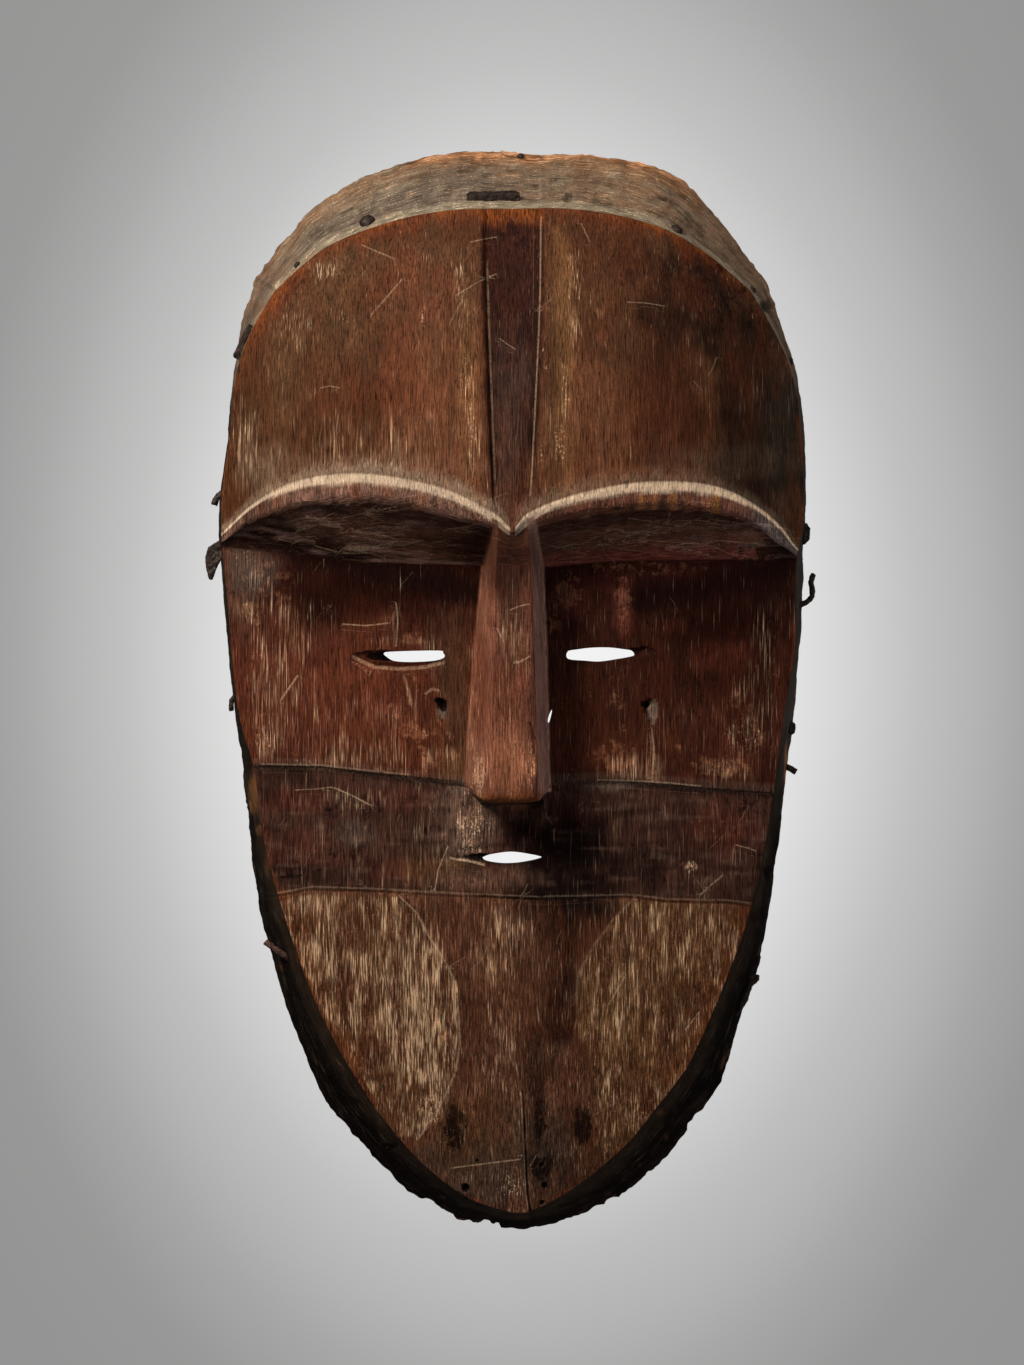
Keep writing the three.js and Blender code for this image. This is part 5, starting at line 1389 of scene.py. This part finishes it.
def rusted_iron():
    """Forged iron gone dark brown with old rust: matt and pitted, almost black in the pits."""
    iron = new_material("rusted_forged_iron")
    coords = put(iron, "TexCoord", output="Object")
    pits = lumps(iron, coords, RUST_PIT, 5, 0.6)
    in_scale = put(iron, "MapRange", (lumps(iron, coords, RUST_SCALE, 3), 0.35, 0.65), **SOFTLY)
    dark = put(iron, "Mix", {0: in_scale, FIRST: solid_colour("#211d1b"), SECOND: solid_colour("#40362f")},
               MIXED, **COLOURS)
    rusted = put(iron, "MapRange", (pits, 0.5, 0.7, 0, 0.6), **SOFTLY)
    rusty = put(iron, "Mix", {0: rusted, FIRST: dark, SECOND: solid_colour("#5a3a28")}, MIXED, **COLOURS)
    rough = put(iron, "MapRange", (pits, 0.3, 0.7, 0.4, 0.72), **SOFTLY)
    return finished(iron, rusty, rough, pits, RUST_RELIEF, {"Metallic": 0.55})


def weathered_twig():
    """A barked twig, dry and reddish: matt, with fine splits along it."""
    twig = new_material("weathered_twig")
    coords = put(twig, "TexCoord", output="Object")
    splits = lumps(twig, coords, BARK_SPLIT, 4)
    ridge = put(twig, "MapRange", (splits, 0.35, 0.65), **SOFTLY)
    bark = put(twig, "Mix", {0: ridge, FIRST: solid_colour("#2e1f19"), SECOND: solid_colour("#6b4a3c")},
               MIXED, **COLOURS)
    rough = put(twig, "MapRange", (splits, 0.3, 0.7, 0.7, 0.85), **SOFTLY)
    return finished(twig, bark, rough, splits, BARK_RELIEF, {"IOR": 1.5})


# The mask: one carving

edges = {"left": through(LEFT_EDGE), "right": through(RIGHT_EDGE)}
hollow_edges = {"left": lambda y: edges["left"](y) + HOLLOW_EDGE_INSET,
                "right": lambda y: edges["right"](y) - HOLLOW_EDGE_INSET}


def softened(sheet):
    """A sheet with its sharp edges rounded a little, except along its border."""
    soft = sheet.copy()
    across = (sheet[:, :-2] + 2 * sheet[:, 1:-1] + sheet[:, 2:]) / 4
    soft[1:-1, 1:-1] = (across[:-2] + 2 * across[1:-1] + across[2:]) / 4
    return soft


def normals_of(sheet):
    """Directions square to a sheet at each of its points, out of the front."""
    square = np.cross(np.gradient(sheet, axis=1), -np.gradient(sheet, axis=0))
    return square / np.linalg.norm(square, axis=2, keepdims=True)


# Picture rows that a notch in the rim spans, above and below its middle
NOTCH_REACH = 30

# About how tall the walls are along their slope, to lay patterns on them at their true size
WALL_SLOPE = 75


def wall_relief(points, run, down):
    """How far each point of the walls stands proud of the plain form, in millimetres."""
    px, py = pixels_of(points)
    upper = smooth(110, 140, points[:, 1])
    relief = 0.4 * noise(points, (9, 9, 16), 41) + 0.2 * noise(points, (3, 3, 7), 42)
    relief += (0.1 + 0.12 * upper) * noise(points, (1.3, 1.3, 1.6), 43)
    unrolled = np.stack([run, WALL_SLOPE * down, 0 * run], axis=1)
    relief += (0.12 + 0.4 * upper) * noise(unrolled, (15, 8, 1), 46)
    relief += 0.9 * smooth(-115, -160, points[:, 1]) * smooth(0.4, 1, down)
    relief += upper * 0.35 * smooth(0.2, 0.12, down)
    ragged = np.abs(noise(points, (2.4, 2.4, 40), 44)) + 0.5 * np.abs(noise(points, (6, 6, 60), 45))
    frayed = 0.15 + 0.9 * smooth(30, 0, np.abs(py - 770) - 60) * (points[:, 0] < 0) + 0.45 * upper
    frayed += 0.5 * smooth(-140, -160, points[:, 1])
    relief -= smooth(0.55, 1, down) * ragged * frayed
    for x, y, wide, deep in RIM_NOTCHES:
        notch = deep * smooth(1, 0.4, np.abs(px - x) / wide) * (np.abs(py - y) < NOTCH_REACH)
        relief -= notch * smooth(0.6, 0.95, down)
    for x, y, wide, tall in WALL_PITS:
        relief -= 1.2 * smooth(1, 0.3, np.hypot((px - x) / wide, (py - y) / tall))
    return relief * smooth(0, 0.08, down)


def tail_relief(points, outline, depth):
    """The shallow tail cut at the end of a slit, rising to nothing at its tip."""
    px, py = pixels_of(points)
    tip = outline[0][0]
    root = outline[len(outline) // 2][0]
    share = np.clip((px - tip) / (root - tip), 0, 1)
    return -depth * share * inside(px, py, outline)


# Steps across a side of the sheet, a facet and the middle, and rings down the walls
FRONT_STEPS = (74, 14, 16)
FRONT_RINGS = 17
HOLLOW_STEPS = (16, 2, 4)
HOLLOW_RINGS = 5

# Farther than this from the plain outside, a point belongs to the hollow
HOLLOW_FROM = 2.2

# Each of this many points of the front edge is enough to measure how far paint is from it
EDGE_STRIDE = 8

# The grain below the brow runs across; this many millimetres of it lie between two carved lines
ARCH_GRAIN = 38

# A hair's breadth of a carved row, so that a point on its line counts as within it
HAIR = 0.001

# Edges sharper than this many degrees stay sharp
SHARP_ANGLE = 40

front_places = columns_of(*FRONT_STEPS)
front, front_stretch = sheet_of(front_rows(), front_places, edges)
front = softened(front)
border = border_of(front)
plain_loop = front[border[:, 0], border[:, 1]]
plain_rim = plain_loop + outward_of(plain_loop)[0] * flare_at(plain_loop)[:, None]
low, high = (np.array(corner[:]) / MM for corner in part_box("mask_body"))
shift = (low + high)[:2] / 2 - (plain_rim.min(axis=0) + plain_rim.max(axis=0))[:2] / 2

stretch, places = (each.ravel() for each in np.meshgrid(front_stretch, front_places, indexing="ij"))
flat_front = front.reshape(-1, 3)
relief = front_relief(flat_front, stretch, places)
for tail, depth in TAIL_DEPTHS:
    relief += tail_relief(flat_front, tail, depth)
front += normals_of(front) * relief.reshape(front.shape[:2])[:, :, None]

mask = grid_piece("carved_mask", front)
down, run = wall_down(mask, front, flare_at, 0, FRONT_RINGS, wall_relief)
outer = points_of(mask)
front_count = front.shape[0] * front.shape[1]

inner, _ = sheet_of(hollow_rows(), columns_of(*HOLLOW_STEPS), hollow_edges)
hollow = grid_piece("hollow", inner)
wall_down(hollow, inner, lambda loop: flare_at(loop) + RIM_INSET, -BELOW_RIM, HOLLOW_RINGS)
gouged = points_of(hollow)
gouges = 0.7 * noise(gouged, (9, 16, 9), 51) + 0.35 * noise(gouged, (4, 7, 4), 52)
gouged[:, 2] += gouges * smooth(4, 12, gouged[:, 2])
move_points(hollow, gouged)
carve(mask, hollow)
for outline in (LEFT_EYE, RIGHT_EYE, MOUTH, NOSE_HOLE):
    carve(mask, prism_of(outline))


def as_laid(values):
    """Values of a sheet's points in the order of its grid's vertices, from the chin to the crown."""
    return values.reshape(front.shape[:2])[::-1].ravel()


# Each point takes the finish of the nearest point of the plain outside
final = points_of(mask)
tree = kdtree.KDTree(len(outer))
for i, point in enumerate(outer):
    tree.insert(point, i)
tree.balance()
nearest = [tree.find(point) for point in final]
at = np.array([index for _, index, _ in nearest])
away = np.array([distance for _, _, distance in nearest])
all_stretch = np.concatenate([as_laid(stretch), np.zeros(len(outer) - front_count)])[at]
all_places = np.concatenate([as_laid(places), np.zeros(len(outer) - front_count)])[at]
all_down = np.concatenate([np.zeros(front_count), down])[at]
all_run = np.concatenate([np.zeros(front_count), run])[at]
is_inside = away > HOLLOW_FROM
on_front = (at < front_count) & ~is_inside
on_wall = (at >= front_count) & ~is_inside
edge_pixels = np.stack(pixels_of(front[border[:, 0], border[:, 1]][::EDGE_STRIDE]), axis=1)
px, py = pixels_of(final)
edge = off_line(px, py, np.vstack([edge_pixels, edge_pixels[:1]]))[0]

paint = Paint(len(final), "inside")
paint_front(paint, final, all_stretch, all_places, on_front, edge)
paint_walls(paint, final, all_down, on_wall)
paint.lay(is_inside * smooth(-0.3, 0.6, noise(final, (20, 30, 20), 53)), "inside dark", 0.7)
paint.raise_to("rub", is_inside, 0.25)
paint.raise_to("fibre", is_inside, 0.3)

# The grain runs up the face, along the arches below the brow and round the walls. It is held
# at the corners of faces, so that it breaks cleanly where two surfaces meet
corners = np.empty(len(mask.data.loops), np.int32)
mask.data.loops.foreach_get("vertex_index", corners)
sizes_of_faces = np.empty(len(mask.data.polygons), np.int32)
mask.data.polygons.foreach_get("loop_total", sizes_of_faces)
face_of_corner = np.repeat(np.arange(len(sizes_of_faces)), sizes_of_faces)


def most_in_face(values):
    """The greatest value among the corners of each corner's face."""
    most = np.full(len(sizes_of_faces), -np.inf)
    np.maximum.at(most, face_of_corner, values[corners])
    return most[face_of_corner]


grain = final[corners]
in_wall = most_in_face(on_wall.astype(float)) > 0
in_arch = most_in_face(-all_stretch) <= -AT_LEDGE_FOOT
in_arch &= (most_in_face(all_stretch) <= AT_FACE + HAIR) & ~in_wall
wall_grain = np.stack([final[:, 2], all_run, 0 * all_run], axis=1)[corners]
arch_grain = np.stack([ARCH_GRAIN * all_stretch, final[:, 0], final[:, 2]], axis=1)[corners]
grain = np.where(in_wall[:, None], wall_grain, np.where(in_arch[:, None], arch_grain, grain))

final[:, :2] += shift
move_points(mask, final)
layer = mask.data.attributes.new("grain", "FLOAT_VECTOR", "CORNER")
layer.data.foreach_set("vector", (grain * MM).astype(np.float32).ravel())
tint = mask.data.attributes.new("tint", "FLOAT_COLOR", "POINT")
tint.data.foreach_set("color", np.c_[paint.tint, np.ones(len(final))].astype(np.float32).ravel())
for name, amount in paint.amount.items():
    layer = mask.data.attributes.new(name, "FLOAT", "POINT")
    layer.data.foreach_set("value", amount.astype(np.float32))
take_up(mask)
bpy.ops.object.shade_smooth_by_angle(angle=math.radians(SHARP_ANGLE))
mask.data.materials.clear()
mask.data.materials.append(aged_hardwood())
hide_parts("mask_body")
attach(mask, "root")

# Iron and twig set into the walls: each keeps its own form, with worn edges and a pitted skin

iron_finish = rusted_iron()
twig_finish = weathered_twig()


# Doubles are merged below WELD. The skin is remeshed at VOXEL and pitted to about PITTING. All
# are in millimetres.
WELD = 0.01
VOXEL = 0.3
PITTING = 0.22
BROAD_PITS = (1.1, 1.1, 1.1)
FINE_PITS = (0.6, 0.6, 0.6)


def refined(node, finish):
    """A finer copy of a fixing, with its edges rounded off and pits in its skin."""
    deselect()
    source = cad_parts[node]
    piece = bpy.data.objects.new("worn_" + node, source.data.copy())
    bpy.context.scene.collection.objects.link(piece)
    edit(piece, "VERT")
    bpy.ops.mesh.select_all(action="SELECT")
    bpy.ops.mesh.remove_doubles(threshold=WELD * MM)
    bpy.ops.object.mode_set(mode="OBJECT")
    for kind, settings in (("REMESH", {"mode": "VOXEL", "voxel_size": VOXEL * MM}),
                           ("SMOOTH", {"factor": 0.5, "iterations": 3})):
        modifier = piece.modifiers.new(kind.lower(), kind)
        for name, value in settings.items():
            setattr(modifier, name, value)
        bpy.ops.object.modifier_apply(modifier=modifier.name)
    points = points_of(piece)
    normals = np.array([vertex.normal[:] for vertex in piece.data.vertices])
    depth = PITTING * (noise(points, BROAD_PITS, 61) + 0.5 * noise(points, FINE_PITS, 62) - 0.4)
    move_points(piece, points + normals * depth[:, None])
    take_up(piece)
    bpy.ops.object.shade_smooth()
    piece.data.materials.clear()
    piece.data.materials.append(finish)
    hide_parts(node)
    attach(piece, "root")


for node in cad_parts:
    if node == "twig_peg_left":
        refined(node, twig_finish)
    elif node != "mask_body":
        refined(node, iron_finish)

# Floor, light and camera

# The floor is FLOOR_SIZE metres wide and lies FLOOR_GAP millimetres below the rim. Its glow is an
# upright oval about a middle, with its brightness by the distance from there in metres.
FLOOR_SIZE = 6.0
FLOOR_GAP = 0.3
GLOW_MIDDLE = (0.0048, 0.0103, 0)
GLOW_TALLNESS = 0.67
GLOW = ((0.0, 0.9), (0.075, 0.85), (0.104, 0.71), (0.118, 0.635), (0.141, 0.51), (0.161, 0.437),
        (0.177, 0.37), (0.202, 0.3), (0.234, 0.283))


def pale_floor():
    """A plain pale floor that glows softly, brightest under and round the mask."""
    floor = new_material("pale_floor")
    coords = put(floor, "TexCoord", output="Object")
    centred = put(floor, "VectorMath", (coords, GLOW_MIDDLE), **MINUS)
    flat = put(floor, "VectorMath", (centred, (1, GLOW_TALLNESS, 0)), **TIMES)
    reach = put(floor, "VectorMath", (flat,), "Value", operation="LENGTH")
    ring = put(floor, "ValToRGB", (reach,), "Color")
    ramp = ring.node.color_ramp
    ramp.elements[0].position, ramp.elements[1].position = GLOW[0][0], GLOW[1][0]
    for position, _ in GLOW[2:]:
        ramp.elements.new(position)
    for element, (_, value) in zip(ramp.elements, GLOW):
        element.color = (value, value, value, 1)
    glow = put(floor, "Emission", {"Color": ring, "Strength": 1.0})
    matt = put(floor, "BsdfDiffuse", {"Color": (0.02, 0.02, 0.02, 1)})
    both = put(floor, "AddShader", (glow, matt))
    put(floor, "OutputMaterial", {"Surface": both})
    return floor


deselect()
bpy.ops.mesh.primitive_plane_add(size=FLOOR_SIZE, location=(0, 0, -FLOOR_GAP * MM))
ground = bpy.context.object
bpy.ops.object.transform_apply(location=True)
ground.name = "floor"
ground.data.materials.append(pale_floor())
ground.visible_glossy = False


# Middle of the mask, in metres
LIGHT_TARGET = (0, 0, 0.05)


def soft_light(name, direction, distance, size, power, colour):
    """A square soft light that looks at the middle of the mask from a direction."""
    target = Vector(LIGHT_TARGET)
    place = target + Vector(direction).normalized() * distance
    deselect()
    bpy.ops.object.light_add(type="AREA", location=place)
    light = bpy.context.object
    light.name = name
    light.data.shape = "SQUARE"
    light.data.size = size
    light.data.energy = power
    light.data.color = linear(colour)
    light.rotation_euler = (target - place).to_track_quat("-Z", "Y").to_euler()
    return light


soft_light("key_light", (-0.52, 0.6, 0.7), 1.05, 0.3, 12, "#fff4e8")
soft_light("top_light", (0.25, 0.95, 0.35), 1.2, 0.5, 2.4, "#fff8f2")
soft_light("fill_light", (0.5, -0.4, 0.8), 1.5, 0.9, 4, "#fbf8ff")
world = bpy.data.worlds.new("studio")
world.use_nodes = True
world.node_tree.nodes["Background"].inputs["Color"].default_value = (1.0, 1.0, 1.0, 1)
world.node_tree.nodes["Background"].inputs["Strength"].default_value = 0.03
bpy.context.scene.world = world
bpy.context.scene.view_settings.view_transform = "Standard"

# The camera hangs over the rim's plane, and its lens frames PICTURE_HEIGHT pixels there
SENSOR = 36
VIEW_END = 10
deselect()
bpy.ops.object.camera_add(location=(shift[0] * MM, shift[1] * MM, CAMERA_HEIGHT * MM), rotation=(0, 0, 0))
camera = bpy.context.object
camera.name = "camera"
camera.data.sensor_width = SENSOR
camera.data.sensor_fit = "VERTICAL"
camera.data.sensor_height = SENSOR
camera.data.lens = SENSOR * CAMERA_HEIGHT / (PICTURE_HEIGHT * MM_PER_PIXEL)
camera.data.clip_end = VIEW_END
bpy.context.scene.camera = camera

bpy.context.view_layer.update()
